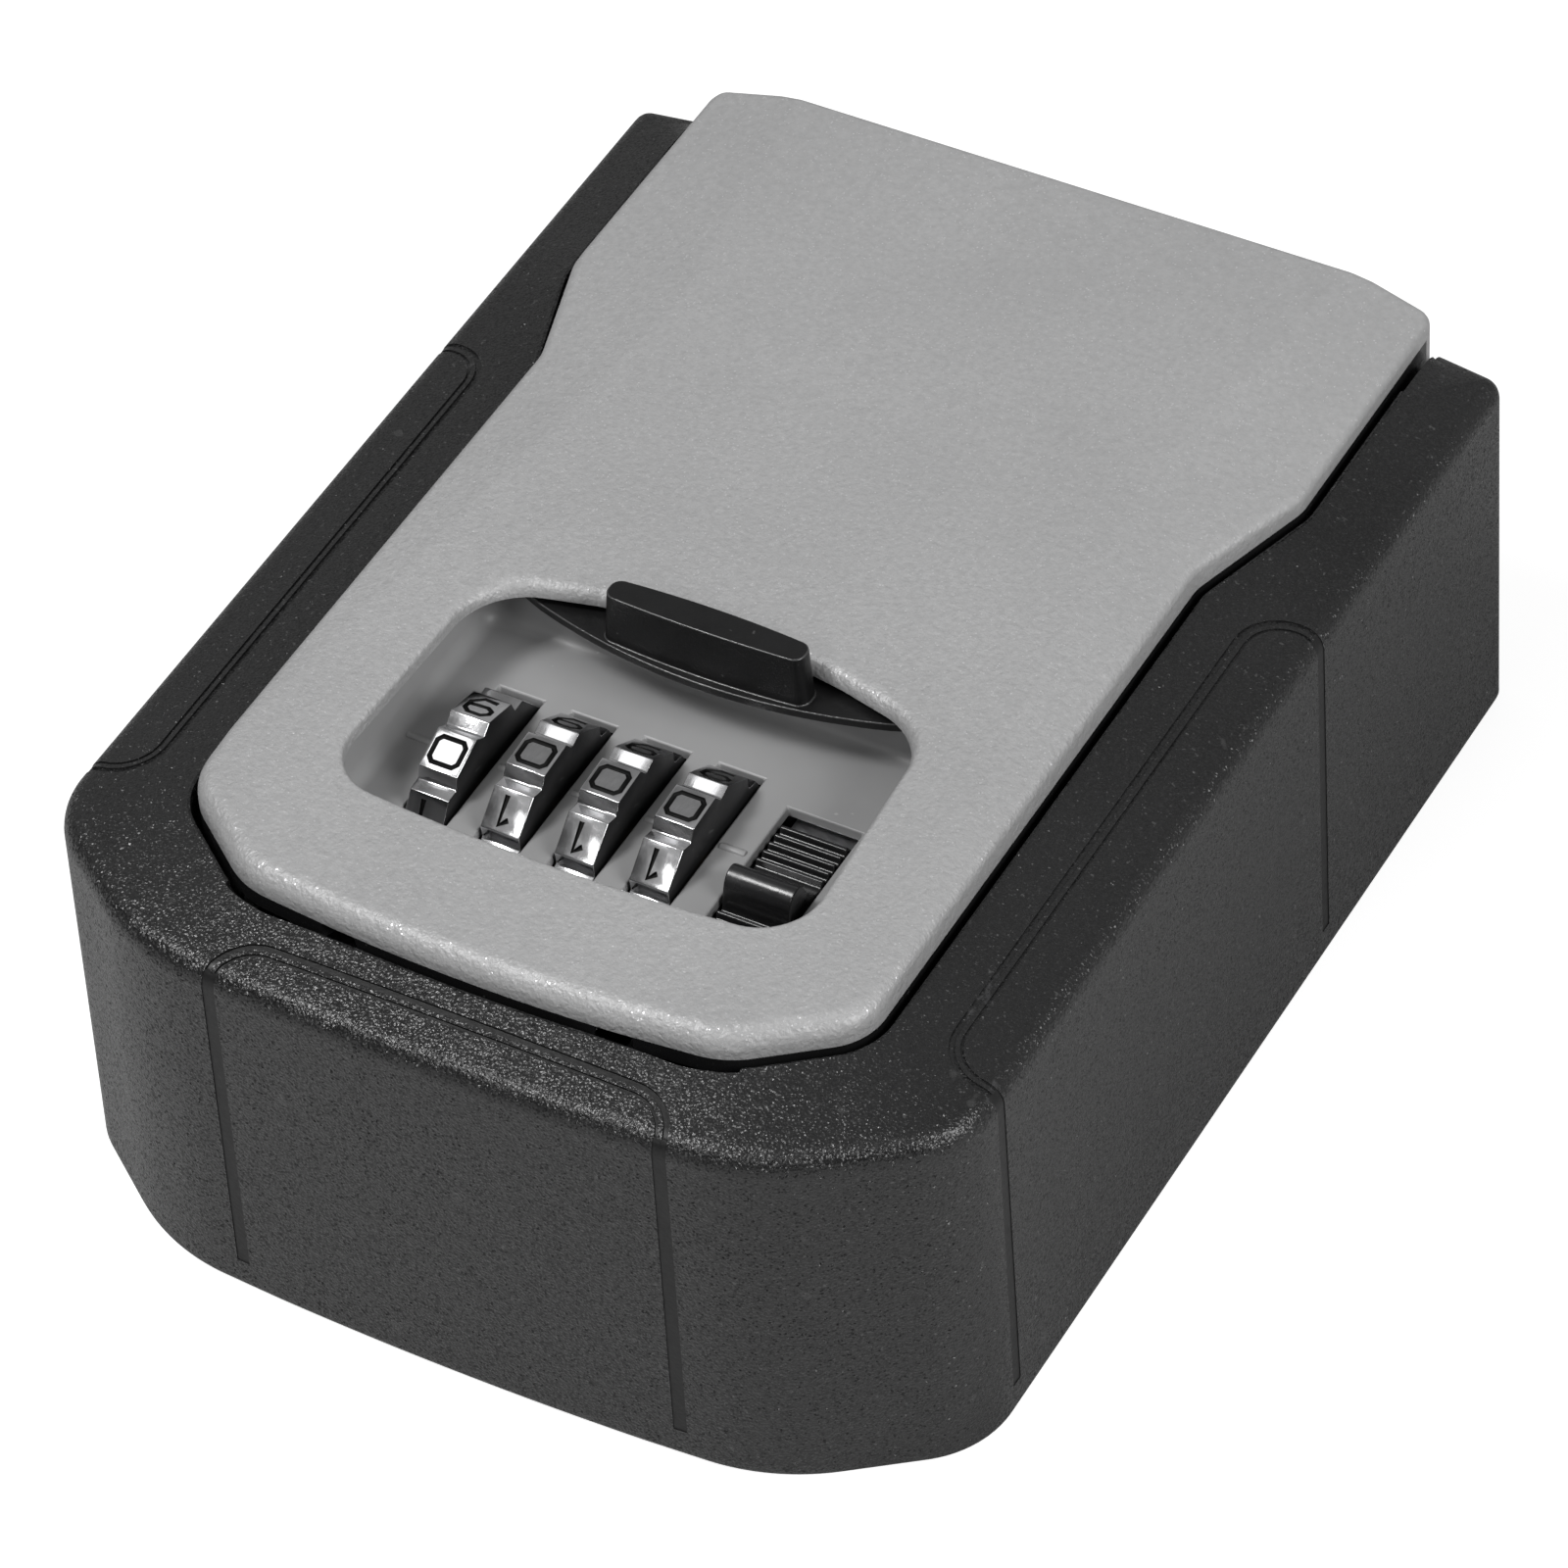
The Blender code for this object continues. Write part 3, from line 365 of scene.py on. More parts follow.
def offset(outline, distance):
    """Moves an outline inwards, or outwards for a negative distance."""
    points = np.array(outline)
    before = points - np.roll(points, 1, 0)
    after = np.roll(points, -1, 0) - points
    normals = [np.stack([-e[:, 1], e[:, 0]], 1) / np.linalg.norm(e, axis=1)[:, None]
               for e in (before, after)]
    move = normals[0] + normals[1]
    move = move / (move * move).sum(1)[:, None] * 2 * distance
    return [tuple(map(float, p)) for p in points + move]


def bowed_end(x, y, bow):
    """The inner part of a bowed bottom edge that ends at (x, y + bow)."""
    return [(x * k / 20, y + bow * (k / 20) ** 2) for k in range(13)]


def body_outline():
    knee, corner = (KNEE_X, -HALF_LENGTH + END_BOW), (HALF_WIDTH, CORNER_Y)
    side_top, taper_end = (HALF_WIDTH, TAPER_Y), (TAPER_X, HALF_LENGTH)
    right = bowed_end(KNEE_X, -HALF_LENGTH, END_BOW)
    right += fillet(right[-1], knee, corner, KNEE_R, 16)
    right += fillet(knee, corner, side_top, CORNER_R, 16)
    right += fillet(corner, side_top, taper_end, TAPER_R, 8)
    right += fillet(side_top, taper_end, (0.0, HALF_LENGTH), 3.0, 3)
    return mirror(right + [(0.0, HALF_LENGTH)])


def door_side():
    """Right half of the door, from the middle of its bottom edge to above the waist."""
    knee, corner = (DOOR_KNEE_X, DOOR_KNEE_Y), (DOOR_LOW_X, DOOR_CORNER_Y)
    waist_low, waist_up = (DOOR_LOW_X, WAIST_LOW_Y), (DOOR_UP_X, WAIST_UP_Y)
    right = bowed_end(DOOR_KNEE_X, DOOR_BOTTOM, DOOR_KNEE_Y - DOOR_BOTTOM)
    right += fillet(right[-1], knee, corner, 9.0, 10)
    right += fillet(knee, corner, waist_low, 6.0, 10)
    right += fillet(corner, waist_low, waist_up, 5.0, 10)
    return right + fillet(waist_low, waist_up, (DOOR_UP_X, 50), 5.0, 10)


def door_outline():
    slope = (HALF_LENGTH - TAPER_Y) / (HALF_WIDTH - TAPER_X)
    side_top = (DOOR_UP_X, HALF_LENGTH - (DOOR_UP_X - TAPER_X) * slope - 0.2)
    taper_end = (TAPER_X, DOOR_TOP)
    right = door_side()
    right += fillet((DOOR_UP_X, 50), side_top, taper_end, 1.6, 6)
    right += fillet(side_top, taper_end, (0.0, DOOR_TOP), 3.0, 3)
    return mirror(right + [(0.0, DOOR_TOP)])


def opening_outline(grow, top):
    """Door opening in the housing, with a square top end."""
    right = door_side() + [(DOOR_UP_X, top), (TAPER_X, top), (0.0, top)]
    return offset(mirror(right), -grow)


def window_outline():
    low_corner = (WIN_LOW_X, WIN_LOW + WIN_LOW_BOW)
    top_corner = (WIN_TOP_X, WIN_TOP - WIN_TOP_BOW)
    top = [(x, WIN_TOP - WIN_TOP_BOW * (x / WIN_TOP_X) ** 2)
           for x in np.linspace(0, WIN_TOP_X * 0.62, 10)][::-1]
    low = [(x, WIN_LOW + WIN_LOW_BOW * (x / WIN_LOW_X) ** 2)
           for x in np.linspace(0, WIN_LOW_X * 0.68, 10)]
    right = low[:-1] + fillet(low[-1], low_corner, top_corner, 5.6, 12)
    right += fillet(low_corner, top_corner, top[0], 7.0, 12) + top[1:]
    return mirror([(float(x), float(y)) for x, y in right])


def polar(outline, dirs, centre=(0.0, 0.0)):
    """Where each direction from the centre leaves the outline."""
    p = np.array(outline) - np.array(centre)
    edge = np.roll(p, -1, 0) - p
    d = dirs[:, None, :]
    cross = d[..., 0] * edge[None, :, 1] - d[..., 1] * edge[None, :, 0]
    cross = np.where(np.abs(cross) < 1e-12, 1e-12, cross)
    reach = (p[:, 0] * edge[:, 1] - p[:, 1] * edge[:, 0])[None, :] / cross
    along = (p[None, :, 0] * d[..., 1] - p[None, :, 1] * d[..., 0]) / cross
    hit = (along >= -1e-6) & (along <= 1 + 1e-6) & (reach > 0)
    reach = np.where(hit, reach, -1).max(1)
    return dirs * reach[:, None] + np.array(centre)


def directions(outlines, step, centre=(0.0, 0.0)):
    """Unit directions towards points about a step apart on every outline."""
    angles = []
    for outline in outlines:
        points = np.array(outline) - np.array(centre)
        for start, end in zip(points, np.roll(points, -1, 0)):
            count = max(1, int(np.linalg.norm(end - start) / step))
            for j in range(count):
                x, y = start + (end - start) * j / count
                angles.append(math.atan2(y, x))
    angles.sort()
    keep = [angles[0]]
    for angle in angles[1:]:
        if angle - keep[-1] > 0.0022:
            keep.append(angle)
    return np.stack([np.cos(keep), np.sin(keep)], 1)


# ------------------------------------------------------------------ meshes
def finish_mesh(name, bm, *materials, angle=35.0):
    bmesh.ops.recalc_face_normals(bm, faces=bm.faces[:])
    mesh = bpy.data.meshes.new(name)
    bm.to_mesh(mesh)
    bm.free()
    ob = bpy.data.objects.new(name, mesh)
    COLLECTION.objects.link(ob)
    for material in materials:
        mesh.materials.append(MATERIALS[material])
    smooth(ob, angle)
    return ob


def smooth(ob, angle):
    """Smooth shading, sharp where faces meet at more than angle degrees."""
    ob.data.shade_smooth()
    ob.data.set_sharp_from_angle(angle=math.radians(angle))


def grid(name, rings, *materials, loop=True, angle=35.0):
    """Mesh through rings (R, N, 3); loop joins the last ring to the first, else ends are capped."""
    points = np.asarray(rings, float) * MM
    count, size, _ = points.shape
    index = np.arange(count * size).reshape(count, size)
    ahead = np.roll(index, -1, 1)
    faces = []
    for i in range(count if loop else count - 1):
        j = (i + 1) % count
        faces += np.stack((index[i], ahead[i], ahead[j], index[j]), 1).tolist()
    if not loop:
        faces += [index[0][::-1].tolist(), index[-1].tolist()]
    mesh = bpy.data.meshes.new(name)
    mesh.from_pydata(points.reshape(-1, 3).tolist(), [], faces)
    mesh.update()
    bm = bmesh.new()
    bm.from_mesh(mesh)
    bpy.data.meshes.remove(mesh)
    return finish_mesh(name, bm, *materials, angle=angle)


def ring(xy, z):
    return np.column_stack([xy, np.full(len(xy), z)])


def at(points, z):
    return [(x, y, z) for x, y in points]


def loft_bm(rings):
    bm = bmesh.new()
    rows = [[bm.verts.new([c * MM for c in p]) for p in points] for points in rings]
    size = len(rings[0])
    for a, b in zip(rows, rows[1:]):
        for i in range(size):
            j = (i + 1) % size
            bm.faces.new((a[i], a[j], b[j], b[i]))
    bm.faces.new(rows[0][::-1])
    bm.faces.new(rows[-1])
    bmesh.ops.recalc_face_normals(bm, faces=bm.faces[:])
    return bm


def box_bm(*spans):
    """Box from its (low, high) spans in x, y and z."""
    bm = bmesh.new()
    bmesh.ops.create_cube(bm, size=1.0)
    middle = Matrix.Translation([(low + high) / 2 for low, high in spans])
    size = Matrix.Diagonal([high - low for low, high in spans] + [1])
    bmesh.ops.transform(bm, matrix=Matrix.Scale(MM, 4) @ middle @ size, verts=bm.verts[:])
    return bm


def rod_bm(axis, centre, radius, start, end, segments):
    """Cylinder along x or z; centre holds its other two coordinates."""
    bm = bmesh.new()
    bmesh.ops.create_cone(bm, cap_ends=True, segments=segments, radius1=radius, radius2=radius,
                          depth=end - start)
    middle = (start + end) / 2
    if axis == "z":
        place = Matrix.Translation((*centre, middle))
    else:
        place = Matrix.Translation((middle, *centre)) @ Matrix.Rotation(math.pi / 2, 4, "Y")
    bmesh.ops.transform(bm, matrix=Matrix.Scale(MM, 4) @ place, verts=bm.verts[:])
    return bm


def tube_bm(paths, radius):
    """Round bars along (points, closed) paths."""
    bm = bmesh.new()
    for path, closed in paths:
        curve = bpy.data.curves.new("bar", "CURVE")
        curve.dimensions = "3D"
        curve.bevel_depth = radius * MM
        curve.bevel_resolution = 2
        curve.use_fill_caps = True
        spline = curve.splines.new("POLY")
        spline.points.add(len(path) - 1)
        for point, place in zip(spline.points, path):
            point.co = (*[v * MM for v in place], 1.0)
        spline.use_cyclic_u = closed
        ob = bpy.data.objects.new("bar", curve)
        COLLECTION.objects.link(ob)
        mesh = evaluated_mesh(ob)
        bpy.data.objects.remove(ob, do_unlink=True)
        bm.from_mesh(mesh)
        bpy.data.meshes.remove(mesh)
    bmesh.ops.remove_doubles(bm, verts=bm.verts[:], dist=1e-7)
    bmesh.ops.recalc_face_normals(bm, faces=bm.faces[:])
    return bm


def evaluated_mesh(ob):
    depsgraph = bpy.context.evaluated_depsgraph_get()
    return bpy.data.meshes.new_from_object(ob.evaluated_get(depsgraph))


def bake(ob):
    """Keeps the result of the modifiers in the mesh."""
    mesh = evaluated_mesh(ob)
    ob.modifiers.clear()
    ob.data = mesh


def take_bm(ob):
    """Turns a helper object into a bmesh."""
    bm = bmesh.new()
    bm.from_mesh(ob.data)
    bpy.data.objects.remove(ob, do_unlink=True)
    return bm


def boolean(ob, bm, solver="EXACT", operation="DIFFERENCE", material=None, self_hit=False):
    """Cuts or joins bm; material goes on the faces that bm leaves."""
    mesh = bpy.data.meshes.new("tool")
    bm.to_mesh(mesh)
    bm.free()
    tool = bpy.data.objects.new("tool", mesh)
    COLLECTION.objects.link(tool)
    mod = ob.modifiers.new("b", "BOOLEAN")
    mod.operation = operation
    mod.solver = solver
    mod.use_self = self_hit
    if material:
        mesh.materials.append(MATERIALS[material])
        mod.material_mode = "TRANSFER"
    mod.object = tool
    bake(ob)
    bpy.data.objects.remove(tool, do_unlink=True)


def angle_bevel(ob, width, segments, angle):
    """Bevel modifier on edges over angle degrees; width in metres."""
    mod = ob.modifiers.new("bevel", "BEVEL")
    mod.width = width
    mod.segments = segments
    mod.limit_method = "ANGLE"
    mod.angle_limit = math.radians(angle)
    mod.use_clamp_overlap = True
    return mod


def bevel(ob, width, segments, angle, sharp=35.0, material=-1, weighted=True):
    """Rounds the edges in the mesh; material is the slot of the new faces."""
    ob.data.shade_smooth()
    mod = angle_bevel(ob, width * MM, segments, angle)
    mod.harden_normals = False
    mod.material = material
    bake(ob)
    smooth(ob, sharp)
    if weighted:
        ob.modifiers.new("wn", "WEIGHTED_NORMAL").keep_sharp = True


def piece(ob, body, slot, *nodes):
    """Ties an object to its moving body and hides the CAD nodes it replaces; slot is not used."""
    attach(ob, body)
    if nodes:
        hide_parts(*nodes)


# ------------------------------------------------------------------ black housing shell
WALL_ZS = (1.2, 2.2, 2.6, 3.0, 3.4, 3.8, 4.4, 6, 9, 13, 18, 23, 28, 32, 35, 37,
           SIDE_H - SHELL_FILLET)
FILLET_SWEEP = math.radians(80.0)
RIM_STEPS = 34
# relief round the hinge axis: |x|, radius
RELIEF = ((8.0, 2.9), (14.0, 2.87), (18.0, 2.8), (20.0, 2.77), (21.0, 2.66), (22.0, 2.45),
          (23.0, 2.2), (24.0, 1.9), (25.2, 1.3))
# grooved pads: two at the sides, one at the bottom; the OUT values lie beyond the housing
PAD_X, PAD_LOW_Y, PAD_TOP_Y, PAD_OUT_X = 39.35, -41.5, 19.3, 60.0
END_PAD_X, END_PAD_Y, END_PAD_OUT_Y, PAD_R = 22.1, -55.0, -75.0, 4.2
GROOVE_SPLIT_Z = 38.9
# bands outside the pad outline: from, to, low z, high z, depth
GROOVES = ((-0.66, 0.66, 3.0, GROOVE_SPLIT_Z, 0.07),
           (0.1, 0.66, GROOVE_SPLIT_Z, 48.0, 0.2),
           (-0.62, -0.32, GROOVE_SPLIT_Z, 48.0, 0.18))
WALL_HOLE_YS, WALL_HOLE_Z, WALL_HOLE_R = (-28.0, 34.0), 16.0, 1.25


def shell_rings():
    """All rings of the shell, and how many of them lie on its outside."""
    body, opening = body_outline(), opening_outline(DOOR_GAP, 56.3)
    dirs = directions([body, opening], 0.32)

    def around(inset):
        return polar(offset(body, round(inset, 4)), dirs)

    rings = [ring(around(0.35), 0.0), ring(around(0.08), 0.12), ring(around(0.0), 0.4)]
    rings += [ring(around(DRAFT * z / SIDE_H), z) for z in WALL_ZS]
    for k in range(1, 9):
        a = FILLET_SWEEP * k / 8
        inset = DRAFT + SHELL_FILLET * (1 - math.cos(a))
        rings.append(ring(around(inset), SIDE_H - SHELL_FILLET + SHELL_FILLET * math.sin(a)))
    # rim face, from the fillet to the door opening
    edge_xy, edge_z = rings[-1][:, :2], rings[-1][0, 2]
    inner = polar(opening, dirs)
    for k in range(1, RIM_STEPS - 1):
        t = k / RIM_STEPS
        rings.append(ring(edge_xy + (inner - edge_xy) * t, edge_z + (RIM_H - edge_z) * t))
    rings.append(ring(polar(opening_outline(DOOR_GAP + 0.35, 56.0), dirs), RIM_H - 0.02))
    outside = len(rings)
    rings.append(ring(polar(opening_outline(DOOR_GAP + 0.1, 56.2), dirs), RIM_H - 0.12))
    rings += [ring(inner, RIM_H - 0.4), ring(inner, RIM_H - 1.8)]
    rings += [ring(around(DRAFT + SHELL_T), SIDE_H - 2.0), ring(around(SHELL_T), 0.0)]
    return np.array(rings), outside


def groove_tool(core, normals, outline, near, far, low_z, high_z, depth):
    """Band from near to far outside an outline, kept only within the depth of the surface."""
    inner, outer = offset(outline, -near), offset(outline, -far)
    tool = finish_mesh("groove", loft_bm([at(outer, low_z), at(outer, high_z)]), "black_groove")
    boolean(tool, loft_bm([at(inner, low_z - 1.0), at(inner, high_z + 1.0)]), "MANIFOLD")
    deep = core - normals * depth
    deep[0, :, 2] = -2.0
    boolean(tool, take_bm(grid("core", deep, "black_groove", loop=False)), "MANIFOLD")
    return take_bm(tool)


def pad_outlines():
    """(outline, material of the groove above the split) for each pad."""
    corners = [(-END_PAD_X, END_PAD_OUT_Y), (END_PAD_X, END_PAD_OUT_Y),
               (END_PAD_X, END_PAD_Y), (-END_PAD_X, END_PAD_Y)]
    pads = [(rounded(corners, [0.0, 0.0, PAD_R, PAD_R], 10), "black_groove")]
    for side in (1, -1):
        corners = [(side * PAD_X, PAD_LOW_Y), (side * PAD_OUT_X, PAD_LOW_Y),
                   (side * PAD_OUT_X, PAD_TOP_Y), (side * PAD_X, PAD_TOP_Y)][::side]
        radii = [PAD_R if abs(x) == PAD_X else 0.0 for x, _ in corners]
        pads.append((rounded(corners, radii, 10), "black_shell"))
    return pads


def make_shell():
    rings, outside = shell_rings()
    shell = grid("shell_skin", rings, "black_shell", angle=40)
    # slot for the door's top end
    slot_x = DOOR_UP_X + DOOR_GAP + 0.35
    boolean(shell, box_bm((-slot_x, slot_x), (50.0, 62.0), (36.1, 50.0)), "MANIFOLD")
    for side in (1, -1):
        rows = []
        for x in np.linspace(RELIEF[0][0], RELIEF[-1][0], 36):
            r = float(np.interp(x, *zip(*RELIEF)))
            rows.append([(side * x, HINGE_Y + r * math.cos(t), HINGE_Z + r * math.sin(t))
                         for t in np.linspace(0, 2 * math.pi, 97)[:-1]])
        boolean(shell, loft_bm(rows), "MANIFOLD")
    core = rings[2:outside]
    normals = np.cross(np.roll(core, -1, 1) - np.roll(core, 1, 1), np.gradient(core, axis=0))
    normals /= np.linalg.norm(normals, axis=2)[..., None] + 1e-12
    for outline, upper in pad_outlines():
        for groove in GROOVES:
            material = "black_groove" if groove[3] == GROOVE_SPLIT_Z else upper
            tool = groove_tool(core, normals, outline, *groove)
            boolean(shell, tool, "MANIFOLD", material=material)
    for side in (1, -1):
        start, end = sorted((side * (HALF_WIDTH - SHELL_T - 1.0), side * (HALF_WIDTH - 1.0)))
        for y in WALL_HOLE_YS:
            rod = rod_bm("x", (y, WALL_HOLE_Z), WALL_HOLE_R, start, end, 20)
            boolean(shell, rod, "MANIFOLD")
    smooth(shell, 40)
    piece(shell, "housing", "black_shell", "outer_shell")


make_shell()

# ------------------------------------------------------------------ grey front
# four planes meet near the crease point; slopes are rise per mm
CREASE_X, CREASE_Y, CREASE_Z = 24.4, 27.0, 44.95
UP_SIDE_SLOPE, LOW_SIDE_SLOPE, LOW_SIDE_Y_SLOPE = -0.119, -0.1527, -0.0028
UP_SLOPE, LOW_SLOPE, CREASE_SOFTNESS = 0.75 / 33.0, 0.0162, 0.018
FRONT_CENTRE = (0.0, -22.5)
FRONT_STEPS = 120
# ears: raised parts of the skirt's bottom edge, midway between the hinge lugs
LUG_SPANS = ((7.6, 11.4), (15.6, 19.6), (-11.4, -7.6), (-19.6, -15.6))
EAR_X, EAR_HALF, EAR_SKIN_T = (LUG_SPANS[0][1] + LUG_SPANS[1][0]) / 2, 1.85, 0.62
NOTCH_X, NOTCH_Z = 24.8, 39.2
BOSSES = ((27.75, 44.0), (-27.75, 44.0), (27.75, -12.0), (-27.75, -12.0))


def on_front(xy, drop):
    """Ring lying drop below the front surface, which is a softened minimum of the planes."""
    x, y = np.abs(xy[:, 0]) - CREASE_X, xy[:, 1] - CREASE_Y
    planes = np.stack([CREASE_Z - UP_SLOPE * y, CREASE_Z + LOW_SLOPE * y,
                       CREASE_Z + UP_SIDE_SLOPE * x,
                       CREASE_Z + LOW_SIDE_SLOPE * x + LOW_SIDE_Y_SLOPE * y])
    low, k = planes.min(0), CREASE_SOFTNESS
    return ring(xy, low - k * np.log(np.exp(-(planes - low) / k).sum(0)) - np.ravel(drop))


def front_rings():
    door, window = door_outline(), window_outline()
    dirs = directions([door, window], 0.33, FRONT_CENTRE)

    def spread(outline):
        return polar(outline, dirs, FRONT_CENTRE)

    hole, rim = spread(window), spread(door)
    hole_step = spread(offset(window, -1.0)) - hole
    rim_step = spread(offset(door, 1.0)) - rim
    hole_r = (0.55 + 0.85 * np.clip((hole[:, 1] + 16.0) / 5.0, 0, 1))[:, None]
    rim_r = (0.85 + 1.05 * np.clip((-36.0 - rim[:, 1]) / 9.0, 0, 1))[:, None]

    # window edge, top face, rounded rim
    rings = [on_front(hole, SKIN_T), on_front(hole, np.minimum(hole_r * 1.02, SKIN_T - 0.02))]
    for k in range(1, 8):
        a = math.pi / 2 * k / 8
        drop = np.minimum(hole_r * (1 - math.sin(a)), SKIN_T - 0.03)
        rings.append(on_front(hole + hole_step * hole_r * (1 - math.cos(a)), drop))
    start, end = hole + hole_step * hole_r, rim + rim_step * rim_r
    for k in range(FRONT_STEPS + 1):
        rings.append(on_front(start + (end - start) * (k / FRONT_STEPS), 0.0))
    for k in range(1, 9):
        a = math.pi / 2 * k / 8
        rings.append(on_front(rim + rim_step * rim_r * (1 - math.sin(a)),
                              rim_r * (1 - math.cos(a))))

    # skirt, shorter at the hinge, then the underside back to the window
    inner = spread(offset(door, SKIRT_T))
    hinge_end = rim[:, 1] < -46.0
    notch = np.clip((NOTCH_X - np.abs(rim[:, 0])) / 0.4, 0, 1) * hinge_end
    ear = (np.abs(np.abs(rim[:, 0]) - EAR_X) < EAR_HALF) & hinge_end
    foot = np.where(ear, 40.98, SKIRT_Z + (NOTCH_Z - SKIRT_Z) * notch)
    wall = rim + (inner - rim) * np.where(ear, 0.35, 1.0)[:, None]
    rings += [ring(rim, 41.05), ring(rim, 41.0), ring(rim, np.where(ear, 40.99, foot + 0.25))]
    rings += [ring(rim + (inner - rim) * 0.15, foot), ring(wall, foot)]
    under = on_front(inner, np.where(ear, EAR_SKIN_T, SKIN_T))
    rings.append(ring(wall, under[:, 2]))
    for k in (0.08, 0.3, 0.6, 0.9):
        xy = inner + (hole - inner) * k
        rings.append(on_front(xy, np.where(ear & (xy[:, 1] < -44.0), EAR_SKIN_T, SKIN_T)))
    return np.array(rings)


def make_front():
    front = grid("front_skin", front_rings(), "front_paint", "black_slide", angle=42)
    # painted shade: the outside of the skirt below the rim is black, except at the top end, so the
    # gap round the door reads as a dark line
    for face in front.data.polygons:
        c = face.center / MM
        if c.z < 41.03 and c.y < 57.0 and abs(face.normal.z) < 0.5:
            if face.normal.xy.dot(c.xy - Vector(FRONT_CENTRE)) > 0:
                face.material_index = 1
    piece(front, "door", "front_paint", "front_cover")


def make_hinge_lugs():
    for i, (start, end) in enumerate(LUG_SPANS):
        box = box_bm((start, end), (-50.3, -47.2), (39.4, 42.6))
        lug = finish_mesh(f"hinge_lug_{i + 1}", box, "front_paint")
        boolean(lug, rod_bm("x", (HINGE_Y, HINGE_Z), PIN_R + 0.05, start - 1, end + 1, 32))
        bevel(lug, width=0.25, segments=2, angle=60)
        piece(lug, "door", "front_paint")


def make_screw_bosses():
    for i, centre in enumerate(BOSSES):
        rod = rod_bm("z", centre, 2.0, 31.9, 43.1, 40)
        boss = finish_mesh(f"screw_boss_{i + 1}", rod, "front_paint")
        boolean(boss, rod_bm("z", centre, 1.15, 31.0, 41.0, 32))
        bevel(boss, width=0.15, segments=2, angle=50)
        piece(boss, "door", "front_paint")


make_front()
make_hinge_lugs()
make_screw_bosses()

# ------------------------------------------------------------------ dial plate
TUB_X, TUB_LOW_Y, TUB_TOP_Y, TUB_RIM_Z = 24.7, -40.0, -6.7, 41.0
TUB_R, TUB_WALL_T, TUB_FILLET = 2.5, 0.8, 1.6
# index mark section: y from the dial axis, z from the plate
MARK_SECTION = ((-0.42, -0.2), (0.42, -0.2), (0.34, 0.16), (0.0, 0.3), (-0.34, 0.16))


def make_dial_plate():
    """Tub with slots for the dials and the lever."""
    tub = rounded([(-TUB_X, TUB_LOW_Y), (TUB_X, TUB_LOW_Y), (TUB_X, TUB_TOP_Y),
                   (-TUB_X, TUB_TOP_Y)], [TUB_R] * 4, 8)
    levels = [(-TUB_WALL_T, PLATE_Z - PLATE_T), (-TUB_WALL_T, TUB_RIM_Z), (0.0, TUB_RIM_Z),
              (0.25, PLATE_Z + TUB_FILLET)]  # inset, z
    for k in range(1, 7):
        a = math.pi / 2 * k / 6
        levels.append((0.25 + 1.5 * (1 - math.cos(a)),
                       PLATE_Z + TUB_FILLET - TUB_FILLET * math.sin(a)))
    rings = [at(offset(tub, inset), z) for inset, z in levels]
    plate = finish_mesh("dial_plate_skin", loft_bm(rings), "dial_plate_grey")
    reach = math.sqrt((DIAL_R + 0.35) ** 2 - (PLATE_Z - DIAL_Z) ** 2) + 0.25
    for x in DIAL_XS:
        boolean(plate, box_bm((x - 2.3, x + 2.3), (DIAL_Y - reach, DIAL_Y + reach), (30.0, 40.0)))
    half = LEVER_WIDTH / 2 + 0.4
    boolean(plate, box_bm((LEVER_X - half, LEVER_X + half), (-36.9, -17.0), (30.0, 40.0)))
    bevel(plate, width=0.22, segments=3, angle=50, sharp=50)
    piece(plate, "door", "dial_plate_grey", "dial_plate")


def make_index_marks():
    """Ridges along the dial axis, left of, between and right of the dials."""
    ends = [-23.2] + [x + side * 2.75 for x in DIAL_XS for side in (-1, 1)]
    ends.append(LEVER_X - LEVER_WIDTH / 2 - 0.9)
    for k, span in enumerate(zip(ends[::2], ends[1::2])):
        rows = [[(x, DIAL_Y + y, PLATE_Z + z) for y, z in MARK_SECTION] for x in span]
        mark = finish_mesh(f"index_mark_{k + 1}", loft_bm(rows), "dial_plate_grey")
        bevel(mark, width=0.12, segments=2, angle=20, sharp=60)
        piece(mark, "door", "dial_plate_grey")


make_dial_plate()
make_index_marks()

# ------------------------------------------------------------------ number dials
# strokes of the digits 0 to 9 as (points, closed), about 2 wide and 2 tall round (0, 0)
DIGITS = (
    [([(-1, -.65), (-.72, -1), (.72, -1), (1, -.65), (1, .65), (.72, 1), (-.72, 1), (-1, .65)],
      True)],
    [([(-.28, .55), (-.18, .62), (.28, 1.05), (.28, -1.1)], False)],
    [([(-.85, .6), (-.4, 1), (.4, 1), (.85, .6), (.8, .15), (-.85, -1), (.85, -1)], False)],
    [([(-.85, 1), (.85, 1), (0, .2), (.6, .1), (.9, -.4), (.5, -1), (-.5, -1), (-.85, -.7)],
      False)],
    [([(.4, -1), (.4, 1), (-.85, -.4), (.9, -.4)], False)],
    [([(.8, 1), (-.75, 1), (-.8, .1), (.4, .15), (.85, -.25), (.8, -.7), (.4, -1), (-.8, -1)],
      False)],
    [([(.75, .9), (-.2, 1), (-.85, .3), (-.85, -.6), (-.45, -1), (.45, -1), (.85, -.6),
       (.85, -.2), (.45, .1), (-.8, .0)], False)],
    [([(-.85, 1), (.85, 1), (-.2, -1)], False)],
    [([(0, .08), (.75, .4), (.6, 1), (-.6, 1), (-.75, .4)], True),
     ([(0, .0), (.85, -.45), (.6, -1), (-.6, -1), (-.85, -.45)], True)],
    [([(-.75, -.9), (.2, -1), (.85, -.3), (.85, .6), (.45, 1), (-.45, 1), (-.85, .6),
       (-.85, .2), (-.45, -.1), (.8, .0)], False)],
)
DIGIT_HALF_W, DIGIT_HALF_H, STROKE_R = 1.42, 1.27, 0.27
FACE_HALF = 11.6  # half the angle of a digit face, degrees
